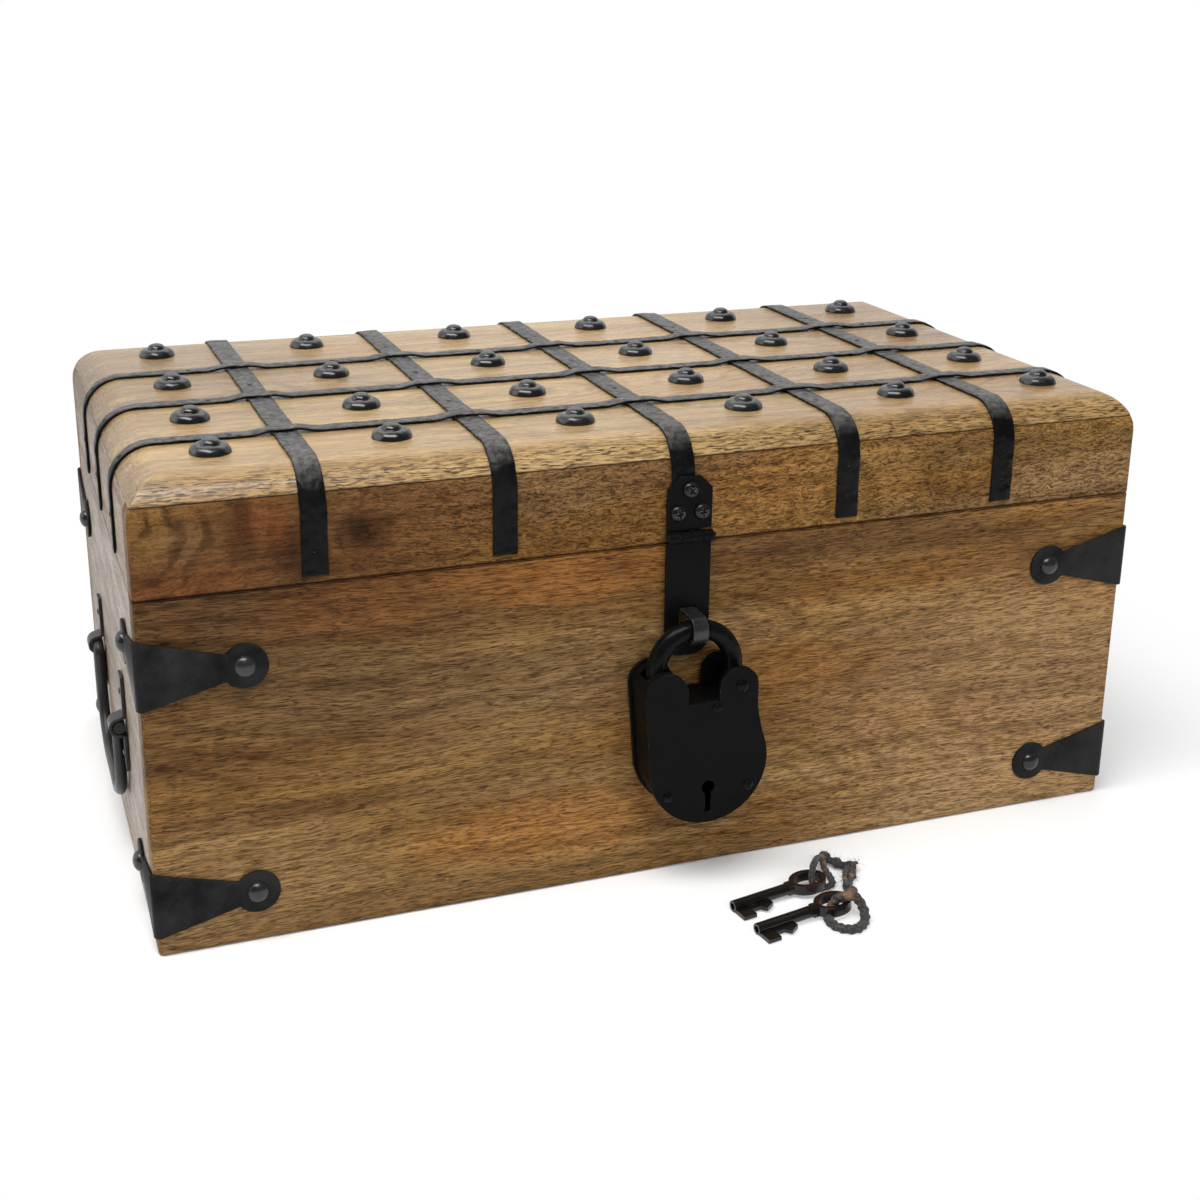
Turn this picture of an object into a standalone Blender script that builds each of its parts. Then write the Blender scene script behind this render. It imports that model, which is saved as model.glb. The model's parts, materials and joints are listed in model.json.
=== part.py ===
# Wooden treasure chest with iron straps, a hasp and staple, a lever padlock, two drop handles and two keys.
# Metres, +Z up. The origin is the centre of the underside, the front faces -Y and the length runs along X.

from math import acos, atan2, cos, pi, radians, sin, sqrt

import bmesh
import bpy
from mathutils import Matrix, Vector

# Overall box
chest_length = 0.457
chest_depth = 0.255
base_height = 0.1555
lid_height = 0.0472
seam_gap = 0.0004
fit_gap = 0.0003
cut_overrun = 0.002

# Boards
board_thickness = 0.0125
bottom_board_thickness = 0.008
top_board_thickness = 0.0102
lid_edge_radius = 0.017
corner_ease = 0.0015
foot_chamfer = 0.001
lid_edge_steps = 6
ease_steps = 2
# The lid rails' upper levels, as shares of the height from the start of the rounding to the glue line
rail_level_shares = (0.5, 1.0)
# The sharpest corner that a swept section is mitred for, as a share of the straight run
sharpest_mitre_share = 0.3

# Iron straps over the lid
strap_width = 0.0104
strap_thickness = 0.0014
cross_strap_count = 5
cross_strap_end_margin = 0.0713
long_strap_count = 3
long_strap_front_margin = 0.0555
long_strap_back_margin = 0.0785
strap_end_lift = 0.0033
joggle_run = 0.004
joggle_side_room = 0.0008

# Domed studs, one in each field between the straps
stud_columns = 6
stud_end_margin = 0.0355
# The rows, from the lid's centre line, as shares of the chest's depth
stud_row_shares = (-0.361, -0.149, 0.098, 0.357)
stud_radius = 0.0085
stud_height = 0.0065
stud_root = 0.0012
stud_sides = 12
# The turned profile, as shares of the stud's radius and height, from the rim to the tip
stud_profile_shares = (
    (1.0, 0.0), (0.95, 0.28), (0.8, 0.54), (0.5, 0.66),
    (0.4, 0.84), (0.22, 0.96), (0.0, 1.0),
)

# Corner brackets
bracket_thickness = 0.0012
bracket_arm = 0.0415
bracket_corner_height = 0.029
bracket_neck_height = 0.0115
bracket_disc_radius = 0.0095
bracket_upper_drop = 0.031
bracket_lower_height = 0.0235
bracket_disc_steps = 14
rivet_radius = 0.0047
rivet_height = 0.0032
rivet_sides = 12
rivet_rings = 3

# Hasp: the plate on the lid, the slotted arm, and their hinge
hasp_centre_x = 0.0024
hasp_width = 0.0204
hasp_thickness = 0.0015
hasp_barrel_radius = 0.0026
hasp_pin_radius = 0.0011
hasp_pin_stub = 0.0014
hasp_knuckles = 4
hasp_axis_lift = 0.0035
hasp_plate_rise = 0.0265
hasp_corner_cut = 0.0055
hasp_end_margin = 0.0085
hasp_end_radius = 0.0075
hasp_end_steps = 5
hasp_slot_width = 0.0080
hasp_slot_clearance = 0.0007
knuckle_play = 0.0004
screw_head_radius = 0.0036
screw_head_height = 0.0021
screw_shank_radius = 0.0016
screw_length = 0.0105
screw_top_rise = 0.0205
screw_low_rise = 0.0106
screw_spread = 0.0054
screw_sides = 16

# Staple: a flat band bent to an eye, both legs through the front board and clinched inside
staple_drop = 0.035
staple_width = 0.0068
staple_thickness = 0.0015
staple_play = 0.0006
staple_reach = 0.0195
staple_corner_radius = 0.0043
staple_clinch = 0.007
staple_bend_steps = 5

# Padlock shackle
shackle_bar_radius = 0.0043
shackle_half_span = 0.018
shackle_leg_length = 0.0068
shackle_stand_off = 0.0128
shackle_steps = 18
shackle_sides = 12
shackle_nose_radius = 0.003
shackle_nose_inset = 0.001
shackle_nose_tip = 0.0007
shackle_eye_radius = 0.0048
shackle_eye_thickness = 0.0080
shackle_shoulder_drop = 0.0035

# Padlock case. Drops are below the line through the two ears.
case_thickness = 0.0212
case_plate_thickness = 0.0018
case_left_ear_radius = 0.0099
case_left_ear_inset = 0.0012
case_right_ear_radius = 0.0091
case_right_ear_inset = 0.0012
case_sill_drop = 0.0054
case_round_radius = 0.0276
case_round_drop = 0.0350
case_round_shift = 0.0036
case_flank_drop = 0.007
case_flank_control_drop = 0.0145
case_flank_angle = radians(17.0)
case_ear_steps = 10
case_round_steps = 22
case_flank_steps = 5
rim_inset = 0.001
rim_wall = 0.0015
rim_sill_thickness = 0.0044
rim_mouth_slack = 0.0011
case_rivet_radius = 0.0015
case_rivet_head_radius = 0.0025
case_rivet_head_height = 0.0012
case_rivet_tail_height = 0.0007
pivot_rivet_radius = 0.0021
guide_rivet_x = 0.0068
low_rivet_x = 0.0190
low_rivet_drop = 0.0126
keyhole_radius = 0.0033
keyhole_drop = 0.0457
keyhole_slot_width = 0.0031
keyhole_slot_length = 0.0121
drill_pin_radius = 0.00125
drill_pin_recess = 0.006
bolt_height = 0.0036
bolt_thickness = 0.0042
bolt_tail = 0.0130
bolt_depth_play = 0.0003

# Drop handles on the two ends
handle_pivot_height = 0.072
handle_half_span = 0.0505
handle_bar_radius = 0.0027
handle_drop = 0.0445
handle_bend_radius = 0.026
handle_stub_bend = 0.004
handle_bar_sides = 10
handle_stub_steps = 4
handle_bend_steps = 6
clip_width = 0.009
clip_thickness = 0.0014
clip_upper_tab = 0.0205
clip_lower_tab = 0.018
clip_clearance = 0.0004
clip_fillet = 0.0012
clip_hump_steps = 8

# Back hinges
hinge_leaf_width = 0.044
hinge_leaf_height = 0.021
hinge_leaf_thickness = 0.0014
hinge_barrel_radius = 0.0026
hinge_pin_radius = 0.0011
hinge_knuckles = 3
hinge_end_margin = 0.112

# Keys and their twine, lying in front of the chest
key_length = 0.0476
key_barrel_radius = 0.0026
key_bore_radius = 0.0015
key_bore_depth = 0.010
key_bow_long_radius = 0.0088
key_bow_cross_radius = 0.0070
key_bow_wall = 0.0022
key_bow_height = 0.0044
key_bit_reach = 0.0092
# The cut corner of the bit, as a share of its reach
key_bit_corner_share = 0.86
key_bit_thickness = 0.0018
key_bit_length = 0.0175
key_bit_notch = 0.0042
key_bit_notch_reach = 0.0052
key_bow_lift = 0.0018
key_neck_width = 0.0048
key_sides = 14
key_bow_steps = 22
key_turn = radians(7.5)
key_one_bow = (0.0478, -0.1678)
key_two_bow = (0.0497, -0.1881)
twine_radius = 0.00095
twine_sides = 6
twine_smoothing = 3
knot_rings = 5
# The twine's course: (x, y, height). It loops through the bow of each key, with a knot between them.
twine_first_loop = (
    (0.0660, -0.1489, 0.0026), (0.0602, -0.1535, 0.0060), (0.0548, -0.1608, 0.0086),
    (0.0514, -0.1654, 0.0084), (0.0502, -0.1676, 0.0045), (0.0516, -0.1694, 0.00099),
    (0.0556, -0.1702, 0.00097), (0.0600, -0.1685, 0.00097), (0.0618, -0.1640, 0.0011),
    (0.0622, -0.1590, 0.0016), (0.0632, -0.1540, 0.0022), (0.0660, -0.1489, 0.0026),
)
twine_second_loop = (
    (0.0660, -0.1489, 0.0026), (0.0702, -0.1545, 0.0018), (0.0734, -0.1600, 0.0022),
    (0.0695, -0.1665, 0.0014), (0.0650, -0.1735, 0.0022), (0.0620, -0.1800, 0.0042),
    (0.0606, -0.1845, 0.0060), (0.0586, -0.1890, 0.0088), (0.0546, -0.1924, 0.0094),
    (0.0518, -0.1898, 0.0076), (0.0495, -0.1886, 0.0035), (0.0470, -0.1906, 0.00099),
    (0.0448, -0.1945, 0.00097), (0.0446, -0.1995, 0.00097), (0.0475, -0.2040, 0.00097),
    (0.0528, -0.2056, 0.0010), (0.0585, -0.2015, 0.0012), (0.0604, -0.1968, 0.0034),
    (0.0586, -0.1936, 0.0078), (0.0546, -0.1924, 0.0094),
)
# Each knot's place and radius, then the twine's two loose ends
twine_knots = (
    (0.0660, -0.1489, 0.0026, 0.0024), (0.0734, -0.1600, 0.0022, 0.0021), (0.0546, -0.1924, 0.0094, 0.0020),
)
twine_ends = (
    ((0.0734, -0.1600, 0.0022), (0.0760, -0.1590, 0.0034), (0.0780, -0.1582, 0.0028)),
    ((0.0734, -0.1600, 0.0022), (0.0732, -0.1640, 0.0016), (0.0722, -0.1670, 0.00099)),
)

# Places that follow from the sizes above
half_length = chest_length / 2
half_depth = chest_depth / 2
lid_bottom = base_height + seam_gap
lid_top = lid_bottom + lid_height
glue_line = lid_top - top_board_thickness
round_start = lid_top - lid_edge_radius
front_face = -half_depth
back_face = half_depth
strap_lap = fit_gap + strap_thickness + fit_gap
hasp_back = front_face - strap_lap
hasp_axis_y = hasp_back - hasp_barrel_radius
hasp_axis_z = lid_bottom + hasp_axis_lift
shackle_y = front_face - shackle_stand_off
shackle_top_height = base_height - staple_drop
ear_line_height = shackle_top_height - shackle_half_span - shackle_leg_length
case_back = shackle_y + case_thickness / 2
case_front = shackle_y - case_thickness / 2
round_z = ear_line_height - case_round_drop
pivot_x = shackle_half_span
left_leg_x = -shackle_half_span
left_ear_x = left_leg_x + case_left_ear_inset
right_ear_x = pivot_x - case_right_ear_inset
sill_height = ear_line_height - case_sill_drop
rim_sill_top = sill_height - rim_inset
rim_sill_bottom = rim_sill_top - rim_sill_thickness
guide_rivet_z = rim_sill_top - rim_sill_thickness / 2
bolt_top = rim_sill_bottom - bolt_depth_play
bolt_bottom = bolt_top - bolt_height
nose_x = left_leg_x + shackle_nose_inset
nose_end = bolt_bottom - bolt_depth_play - shackle_nose_tip
staple_low = shackle_top_height - shackle_bar_radius - staple_play
staple_high = shackle_top_height + shackle_bar_radius + staple_play
slot_low = staple_low - staple_thickness - hasp_slot_clearance
slot_high = staple_high + staple_thickness + hasp_slot_clearance
hasp_arm_drop = hasp_axis_z - slot_low + hasp_end_margin
hinge_axis_y = back_face + fit_gap + hinge_barrel_radius
hinge_axis_z = base_height + seam_gap / 2
cross_strap_pitch = (chest_length - 2 * cross_strap_end_margin) / (cross_strap_count - 1)
long_strap_pitch = (chest_depth - long_strap_front_margin - long_strap_back_margin) / (long_strap_count - 1)
stud_pitch = (chest_length - 2 * stud_end_margin) / (stud_columns - 1)
hinge_place = half_length - hinge_end_margin

collection = bpy.context.scene.collection


def clear_scene():
    for old in list(bpy.data.objects):
        bpy.data.objects.remove(old, do_unlink=True)


def make_material(name, colour, roughness, metallic):
    material = bpy.data.materials.new(name)
    material.use_nodes = True
    shader = material.node_tree.nodes["Principled BSDF"]
    shader.inputs["Base Color"].default_value = (*colour, 1.0)
    shader.inputs["Roughness"].default_value = roughness
    shader.inputs["Metallic"].default_value = metallic
    material.diffuse_color = (*colour, 1.0)
    return material


def add_object(name, mesh, material=None, parent=None):
    made = bpy.data.objects.new(name, mesh)
    collection.objects.link(made)
    if material:
        mesh.materials.clear()
        mesh.materials.append(material)
    if parent:
        made.parent = parent
        made.matrix_parent_inverse = Matrix.Translation(parent.location).inverted()
    return made


def add_lock_piece(name, mesh, material, parent=None):
    """Pieces of the hasp and padlock are drawn round X = 0, and sit a little to the right of it."""
    return add_object(name, moved(mesh, (hasp_centre_x, 0.0, 0.0)), material, parent)


def add_axis(name, place):
    empty = bpy.data.objects.new(name, None)
    empty.location = place
    empty.empty_display_size = board_thickness
    collection.objects.link(empty)
    return empty


def mesh_from(name, points, faces):
    """A closed mesh from points and faces, with its faces turned outwards."""
    shape = bmesh.new()
    vertices = [shape.verts.new(point) for point in points]
    for face in faces:
        shape.faces.new([vertices[i] for i in face])
    bmesh.ops.recalc_face_normals(shape, faces=shape.faces)
    mesh = bpy.data.meshes.new(name)
    shape.to_mesh(mesh)
    shape.free()
    return mesh


def smooth(mesh, angle=radians(35.0)):
    mesh.shade_smooth()
    mesh.set_sharp_from_angle(angle=angle)
    return mesh


def loft(name, loops, closed=False):
    """Joins loops that have the same number of points, and caps the ends unless the loft closes on itself."""
    count = len(loops[0])
    points = [point for loop in loops for point in loop]
    faces = []
    last = len(loops) if closed else len(loops) - 1
    for row in range(last):
        low = row * count
        high = (row + 1) % len(loops) * count
        for i in range(count):
            j = (i + 1) % count
            faces.append((low + i, low + j, high + j, high + i))
    if not closed:
        faces.append(tuple(reversed(range(count))))
        faces.append(tuple(range(len(points) - count, len(points))))
    return mesh_from(name, points, faces)


def in_plane(plane, u, v, across):
    """A point of a flat drawing, put into space."""
    if plane == "XZ":
        return (u, across, v)
    if plane == "YZ":
        return (across, u, v)
    return (u, v, across)


def prism(name, plane, outline, start, end):
    loops = [[in_plane(plane, u, v, across) for u, v in outline] for across in (start, end)]
    return loft(name, loops)


def ring_prism(name, plane, outer, inner, start, end):
    """A band between two outlines that have the same number of points."""
    loops = [
        [in_plane(plane, u, v, start) for u, v in outer],
        [in_plane(plane, u, v, end) for u, v in outer],
        [in_plane(plane, u, v, end) for u, v in inner],
        [in_plane(plane, u, v, start) for u, v in inner],
    ]
    return loft(name, loops, closed=True)


def arc(centre_u, centre_v, radius, start, end, steps):
    points = []
    for i in range(steps + 1):
        turn = start + (end - start) * i / steps
        points.append((centre_u + radius * cos(turn), centre_v + radius * sin(turn)))
    return points


def bend(first, control, last, steps):
    """Points of a curve from the first point to the last, drawn towards the control point."""
    points = []
    for i in range(1, steps):
        t = i / steps
        points.append(tuple(
            (1 - t) ** 2 * a + 2 * t * (1 - t) * b + t ** 2 * c
            for a, b, c in zip(first, control, last)
        ))
    return points


def sweep(name, plane, path, section, across=0.0):
    """Moves a section of (off the path to its left, across the drawing) points along a flat path."""
    loops = []
    for i, (u, v) in enumerate(path):
        before = path[max(i - 1, 0)]
        after = path[min(i + 1, len(path) - 1)]
        into = Vector((u - before[0], v - before[1]))
        away = Vector((after[0] - u, after[1] - v))
        if i == 0:
            into = away.copy()
        if i == len(path) - 1:
            away = into.copy()
        into.normalize()
        away.normalize()
        along = (into + away).normalized()
        side = Vector((-along.y, along.x)) / max(along.dot(into), sharpest_mitre_share)
        loops.append([
            in_plane(plane, u + side.x * off, v + side.y * off, across + over)
            for off, over in section
        ])
    return loft(name, loops)


def round_section(radius, sides):
    return [(radius * cos(2 * pi * i / sides), radius * sin(2 * pi * i / sides)) for i in range(sides)]


def flat_section(thickness, width):
    return [(0.0, -width / 2), (thickness, -width / 2), (thickness, width / 2), (0.0, width / 2)]


def turned(name, profile, sides, axis="Z"):
    """A solid of revolution from (radius, height) pairs. A zero radius closes to a single point."""
    points = []
    rings = []
    for radius, height in profile:
        if radius == 0.0:
            rings.append([len(points)])
            points.append((0.0, 0.0, height))
            continue
        rings.append(list(range(len(points), len(points) + sides)))
        for i in range(sides):
            turn = 2 * pi * i / sides
            points.append((radius * cos(turn), radius * sin(turn), height))
    faces = []
    for low, high in zip(rings, rings[1:]):
        for i in range(sides):
            j = (i + 1) % sides
            if len(low) == 1:
                faces.append((low[0], high[i], high[j]))
            elif len(high) == 1:
                faces.append((low[i], low[j], high[0]))
            else:
                faces.append((low[i], low[j], high[j], high[i]))
    if len(rings[0]) > 1:
        faces.append(tuple(reversed(rings[0])))
    if len(rings[-1]) > 1:
        faces.append(tuple(rings[-1]))
    if axis == "-Y":
        points = [(x, -z, y) for x, y, z in points]
    if axis == "X":
        points = [(z, x, y) for x, y, z in points]
    return mesh_from(name, points, faces)


def moved(mesh, place):
    mesh.transform(Matrix.Translation(place))
    return mesh


def rod(name, axis, radius, start, end, place, sides):
    """A round rod along X, Y or Z from start to end, through the place's other two coordinates."""
    if axis == "Y":
        mesh = turned(name, [(radius, -end), (radius, -start)], sides, "-Y")
        return moved(mesh, (place[0], 0.0, place[2]))
    mesh = turned(name, [(radius, start), (radius, end)], sides, axis)
    other = (0.0, place[1], place[2]) if axis == "X" else (place[0], place[1], 0.0)
    return moved(mesh, other)


def block(name, low, high):
    outline = [(low[0], low[1]), (high[0], low[1]), (high[0], high[1]), (low[0], high[1])]
    return prism(name, "XY", outline, low[2], high[2])


def combine(mesh, steps, crosses_itself=False):
    """The mesh after each step, a pair of an operation and the mesh it uses, in order."""
    body = bpy.data.objects.new("work_body", mesh)
    collection.objects.link(body)
    helpers = []
    for operation, other in steps:
        helper = bpy.data.objects.new("work_tool", other)
        helper.hide_render = True
        helper.display_type = "WIRE"
        collection.objects.link(helper)
        helpers.append(helper)
        modifier = body.modifiers.new(operation.lower(), "BOOLEAN")
        modifier.operation = operation
        modifier.use_self = crosses_itself
        modifier.object = helper
    bpy.context.view_layer.update()
    graph = bpy.context.evaluated_depsgraph_get()
    result = bpy.data.meshes.new_from_object(body.evaluated_get(graph))
    for used in [body, *helpers]:
        bpy.data.objects.remove(used, do_unlink=True)
    result.name = mesh.name
    return result


def cut(mesh, *tools):
    return combine(mesh, [("DIFFERENCE", tool) for tool in tools])


def edge_inset(height):
    """How far the lid's rounded edge stands in from its sides at a height."""
    rise = height - round_start
    if rise <= 0.0:
        return 0.0
    return lid_edge_radius - sqrt(max(lid_edge_radius ** 2 - rise ** 2, 0.0))


def board_outline(low_x, high_x, low_y, high_y, eased):
    """A rectangle in plan whose marked corners are eased. Corners run from front left, anticlockwise."""
    corners = ((low_x, low_y, 1, 1), (high_x, low_y, -1, 1), (high_x, high_y, -1, -1), (low_x, high_y, 1, -1))
    outline = []
    for number, (x, y, inward_x, inward_y) in enumerate(corners):
        if number not in eased:
            outline.append((x, y))
            continue
        start = pi + number * pi / 2
        outline += arc(
            x + inward_x * corner_ease, y + inward_y * corner_ease, corner_ease,
            start, start + pi / 2, ease_steps,
        )
    return outline


def build_base(wood, inside_wood):
    """Front and back boards run the full length. The ends and the bottom fit between them."""
    inner_y = half_depth - board_thickness
    inner_x = half_length - board_thickness
    levels = ((0.0, foot_chamfer), (foot_chamfer, 0.0), (base_height, 0.0))
    front = loft("front_board", [
        [(x, y, z) for x, y in board_outline(
            -half_length + inset, half_length - inset, -half_depth + inset, -inner_y, (0, 1))]
        for z, inset in levels
    ])
    leg_room = []
    for height in (staple_low - staple_thickness, staple_high):
        leg_room.append(block(
            "leg_slot",
            (hasp_centre_x - staple_width / 2 - fit_gap, front_face - cut_overrun, height - fit_gap),
            (hasp_centre_x + staple_width / 2 + fit_gap, -inner_y + cut_overrun,
             height + staple_thickness + fit_gap),
        ))
    front = cut(front, *leg_room)
    back = loft("back_board", [
        [(x, y, z) for x, y in board_outline(
            -half_length + inset, half_length - inset, inner_y, half_depth - inset, (2, 3))]
        for z, inset in levels
    ])
    add_object("front_board", front, wood)
    add_object("back_board", back, wood)
    for name, side in (("left_end_board", -1), ("right_end_board", 1)):
        loops = []
        for z, inset in levels:
            low_x, high_x = sorted((side * (half_length - inset), side * inner_x))
            outline = board_outline(low_x, high_x, -inner_y + fit_gap, inner_y - fit_gap, ())
            loops.append([(x, y, z) for x, y in outline])
        add_object(name, loft(name, loops), wood)
    bottom = block(
        "bottom_board",
        (-inner_x + fit_gap, -inner_y + fit_gap, 0.0),
        (inner_x - fit_gap, inner_y - fit_gap, bottom_board_thickness),
    )
    add_object("bottom_board", bottom, inside_wood)


def stud_mesh():
    profile = [(stud_radius, -stud_root)]
    profile += [(stud_radius * out, stud_height * up) for out, up in stud_profile_shares]
    return turned("stud", profile, stud_sides)


def build_lid(wood, top_wood, parent):
    """Four rails under a top board, all rounded together along the upper edges."""
    inner_y = half_depth - board_thickness
    inner_x = half_length - board_thickness
    rail_top = glue_line - fit_gap
    rail_levels = [lid_bottom, round_start]
    rail_levels += [round_start + (rail_top - round_start) * share for share in rail_level_shares]
    for name, side, eased in (("lid_front_rail", -1, (0, 1)), ("lid_back_rail", 1, (2, 3))):
        loops = []
        for z in rail_levels:
            inset = edge_inset(z)
            low_y, high_y = sorted((side * (half_depth - inset), side * inner_y))
            outline = board_outline(-half_length + inset, half_length - inset, low_y, high_y, eased)
            loops.append([(x, y, z) for x, y in outline])
        mesh = loft(name, loops)
        if side < 0:
            mesh = cut(mesh, *screw_holes(hasp_centre_x))
        add_object(name, mesh, wood, parent)
    for name, side in (("lid_left_rail", -1), ("lid_right_rail", 1)):
        loops = []
        for z in rail_levels:
            low_x, high_x = sorted((side * (half_length - edge_inset(z)), side * inner_x))
            outline = board_outline(low_x, high_x, -inner_y + fit_gap, inner_y - fit_gap, ())
            loops.append([(x, y, z) for x, y in outline])
        add_object(name, loft(name, loops), wood, parent)

    low_turn = acos(1 - edge_inset(glue_line) / lid_edge_radius)
    loops = []
    for i in range(lid_edge_steps + 1):
        turn = low_turn + (pi / 2 - low_turn) * i / lid_edge_steps
        inset = lid_edge_radius * (1 - cos(turn))
        z = round_start + lid_edge_radius * sin(turn)
        outline = board_outline(
            -half_length + inset, half_length - inset, -half_depth + inset, half_depth - inset, (0, 1, 2, 3))
        loops.append([(x, y, z) for x, y in outline])
    top = loft("lid_top_board", loops)
    studs = bmesh.new()
    for column in range(stud_columns):
        x = (column - (stud_columns - 1) / 2) * stud_pitch
        for share in stud_row_shares:
            studs.from_mesh(moved(stud_mesh(), (x, share * chest_depth, lid_top)))
    stud_field = bpy.data.meshes.new("stud_field")
    studs.to_mesh(stud_field)
    studs.free()
    add_object("lid_top_board", combine(top, [("UNION", stud_field)]), top_wood, parent)


def lid_contour(half_span, crossings=()):
    """The path of a strap over the lid, in its own upright plane, with a joggle over each crossed strap."""
    side = half_span + fit_gap
    top = lid_top + fit_gap
    low = lid_bottom + strap_end_lift
    radius = lid_edge_radius + fit_gap
    path = [(-side, low)]
    path += arc(-half_span + lid_edge_radius, round_start, radius, pi, pi / 2, lid_edge_steps)
    half_joggle = strap_width / 2 + joggle_side_room
    for place in crossings:
        lift = top + strap_thickness + fit_gap
        path += [
            (place - half_joggle - joggle_run, top), (place - half_joggle, lift),
            (place + half_joggle, lift), (place + half_joggle + joggle_run, top),
        ]
    path += arc(half_span - lid_edge_radius, round_start, radius, pi / 2, 0.0, lid_edge_steps)
    path.append((side, low))
    return path


def cross_strap_places():
    return [(i - (cross_strap_count - 1) / 2) * cross_strap_pitch for i in range(cross_strap_count)]


def long_strap_places():
    return [front_face + long_strap_front_margin + i * long_strap_pitch for i in range(long_strap_count)]


def build_straps(iron, parent):
    section = flat_section(strap_thickness, strap_width)
    for number, place in enumerate(cross_strap_places(), start=1):
        name = f"cross_strap_{number}"
        mesh = sweep(name, "YZ", lid_contour(half_depth), section, place)
        if abs(place) < hasp_width / 2:
            mesh = cut(mesh, *screw_holes(hasp_centre_x))
        add_object(name, mesh, iron, parent)
    for number, place in enumerate(long_strap_places(), start=1):
        name = f"long_strap_{number}"
        path = lid_contour(half_length, cross_strap_places())
        add_object(name, sweep(name, "XZ", path, section, place), iron, parent)


def bracket_half_outline(side):
    """One arm of the bracket laid flat, as (along from the corner, height) points round its disc."""
    half_neck = bracket_neck_height / 2
    meet = atan2(half_neck, -sqrt(bracket_disc_radius ** 2 - half_neck ** 2))
    disc = arc(bracket_arm, 0.0, bracket_disc_radius, -meet, meet, bracket_disc_steps)
    return [(side * along, height) for along, height in disc]


def bracket_mesh():
    """A plate bent round an upright corner, its arms along +X and +Y, with a domed rivet in each disc."""
    shape = bmesh.new()
    half_corner = bracket_corner_height / 2
    radius = corner_ease + fit_gap
    bend_turns = [pi + (pi / 2) * i / ease_steps for i in range(ease_steps + 1)]
    columns = []
    for turn in reversed(bend_turns):
        x = corner_ease + radius * cos(turn)
        y = corner_ease + radius * sin(turn)
        columns.append([shape.verts.new((x, y, height)) for height in (-half_corner, half_corner)])
    for first, second in zip(columns, columns[1:]):
        shape.faces.new((first[0], second[0], second[1], first[1]))
    arm_front = [shape.verts.new((along, -fit_gap, height)) for along, height in bracket_half_outline(1)]
    shape.faces.new([columns[0][0], columns[0][1], *reversed(arm_front)])
    arm_side = [shape.verts.new((-fit_gap, along, height)) for along, height in bracket_half_outline(1)]
    shape.faces.new([columns[-1][1], columns[-1][0], *arm_side])
    bmesh.ops.recalc_face_normals(shape, faces=shape.faces)
    middle = min(shape.verts, key=lambda vertex: vertex.co.x + vertex.co.y)
    if middle.normal.x > 0.0:
        bmesh.ops.reverse_faces(shape, faces=shape.faces)
    sheet = bpy.data.meshes.new("bracket")
    shape.to_mesh(sheet)
    shape.free()

    plate = bpy.data.objects.new("work_plate", sheet)
    collection.objects.link(plate)
    solidify = plate.modifiers.new("thickness", "SOLIDIFY")
    solidify.thickness = bracket_thickness
    solidify.offset = 1.0
    solidify.use_even_offset = True
    bpy.context.view_layer.update()
    graph = bpy.context.evaluated_depsgraph_get()
    body = bpy.data.meshes.new_from_object(plate.evaluated_get(graph))
    bpy.data.objects.remove(plate, do_unlink=True)

    root = bracket_thickness / 2
    profile = [(rivet_radius, -root), (rivet_radius, 0.0)]
    for i in range(1, rivet_rings + 1):
        turn = pi / 2 * i / rivet_rings
        out = rivet_radius * cos(turn) if i < rivet_rings else 0.0
        profile.append((out, rivet_height * sin(turn)))
    surface = -fit_gap - bracket_thickness
    dome_front = moved(turned("dome", profile, rivet_sides, "-Y"), (bracket_arm, surface, 0.0))
    dome_side = turned("dome", profile, rivet_sides)
    dome_side.transform(Matrix.Rotation(-pi / 2, 4, "Y"))
    dome_side.transform(Matrix.Translation((surface, bracket_arm, 0.0)))
    result = combine(body, [("UNION", dome_front), ("UNION", dome_side)])
    result.name = "corner_bracket"
    return smooth(result)


def build_brackets(iron):
    mesh = bracket_mesh()
    mesh.materials.clear()
    mesh.materials.append(iron)
    corners = (
        ("front_left", -half_length, -half_depth, 0.0), ("front_right", half_length, -half_depth, pi / 2),
        ("back_right", half_length, half_depth, pi), ("back_left", -half_length, half_depth, -pi / 2),
    )
    for level, height in (("upper", base_height - bracket_upper_drop), ("lower", bracket_lower_height)):
        for corner, x, y, turn in corners:
            made = bpy.data.objects.new(f"bracket_{corner}_{level}", mesh)
            made.location = (x, y, height)
            made.rotation_euler = (0.0, 0.0, turn)
            collection.objects.link(made)


def hinge_leaf(
    name, outline, width, thickness, barrel_radius, pin_radius, knuckles, own, axis, back_y, outward,
):
    """A leaf whose outline is (x, height above the axis), with its own knuckles round the pin."""
    axis_y, axis_z = axis
    leaf = prism(name, "XZ", [(x, axis_z + z) for x, z in outline], back_y, back_y + outward * thickness)
    pitch = width / knuckles
    steps = []
    reach = barrel_radius + knuckle_play
    for i in range(knuckles):
        start = -width / 2 + i * pitch
        if i in own:
            tube = rod(
                "knuckle", "X", barrel_radius, start + knuckle_play / 2, start + pitch - knuckle_play / 2,
                (0.0, axis_y, axis_z), screw_sides,
            )
            steps.append(("UNION", tube))
            continue
        low_x = start - (knuckle_play / 2 if i else cut_overrun)
        high_x = start + pitch + (knuckle_play / 2 if i < knuckles - 1 else cut_overrun)
        near_y, far_y = sorted((back_y, back_y + outward * 2 * reach))
        gap = block(
            "knuckle_gap",
            (low_x, near_y - cut_overrun, axis_z - reach),
            (high_x, far_y + cut_overrun, axis_z + reach),
        )
        steps.insert(0, ("DIFFERENCE", gap))
    bore = rod("bore", "X", pin_radius + fit_gap, -width, width, (0.0, axis_y, axis_z), screw_sides)
    steps.append(("DIFFERENCE", bore))
    return combine(leaf, steps)


def screw_places():
    top = hasp_axis_z + screw_top_rise
    low = hasp_axis_z + screw_low_rise
    return ((0.0, top), (-screw_spread, low), (screw_spread, low))


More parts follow.
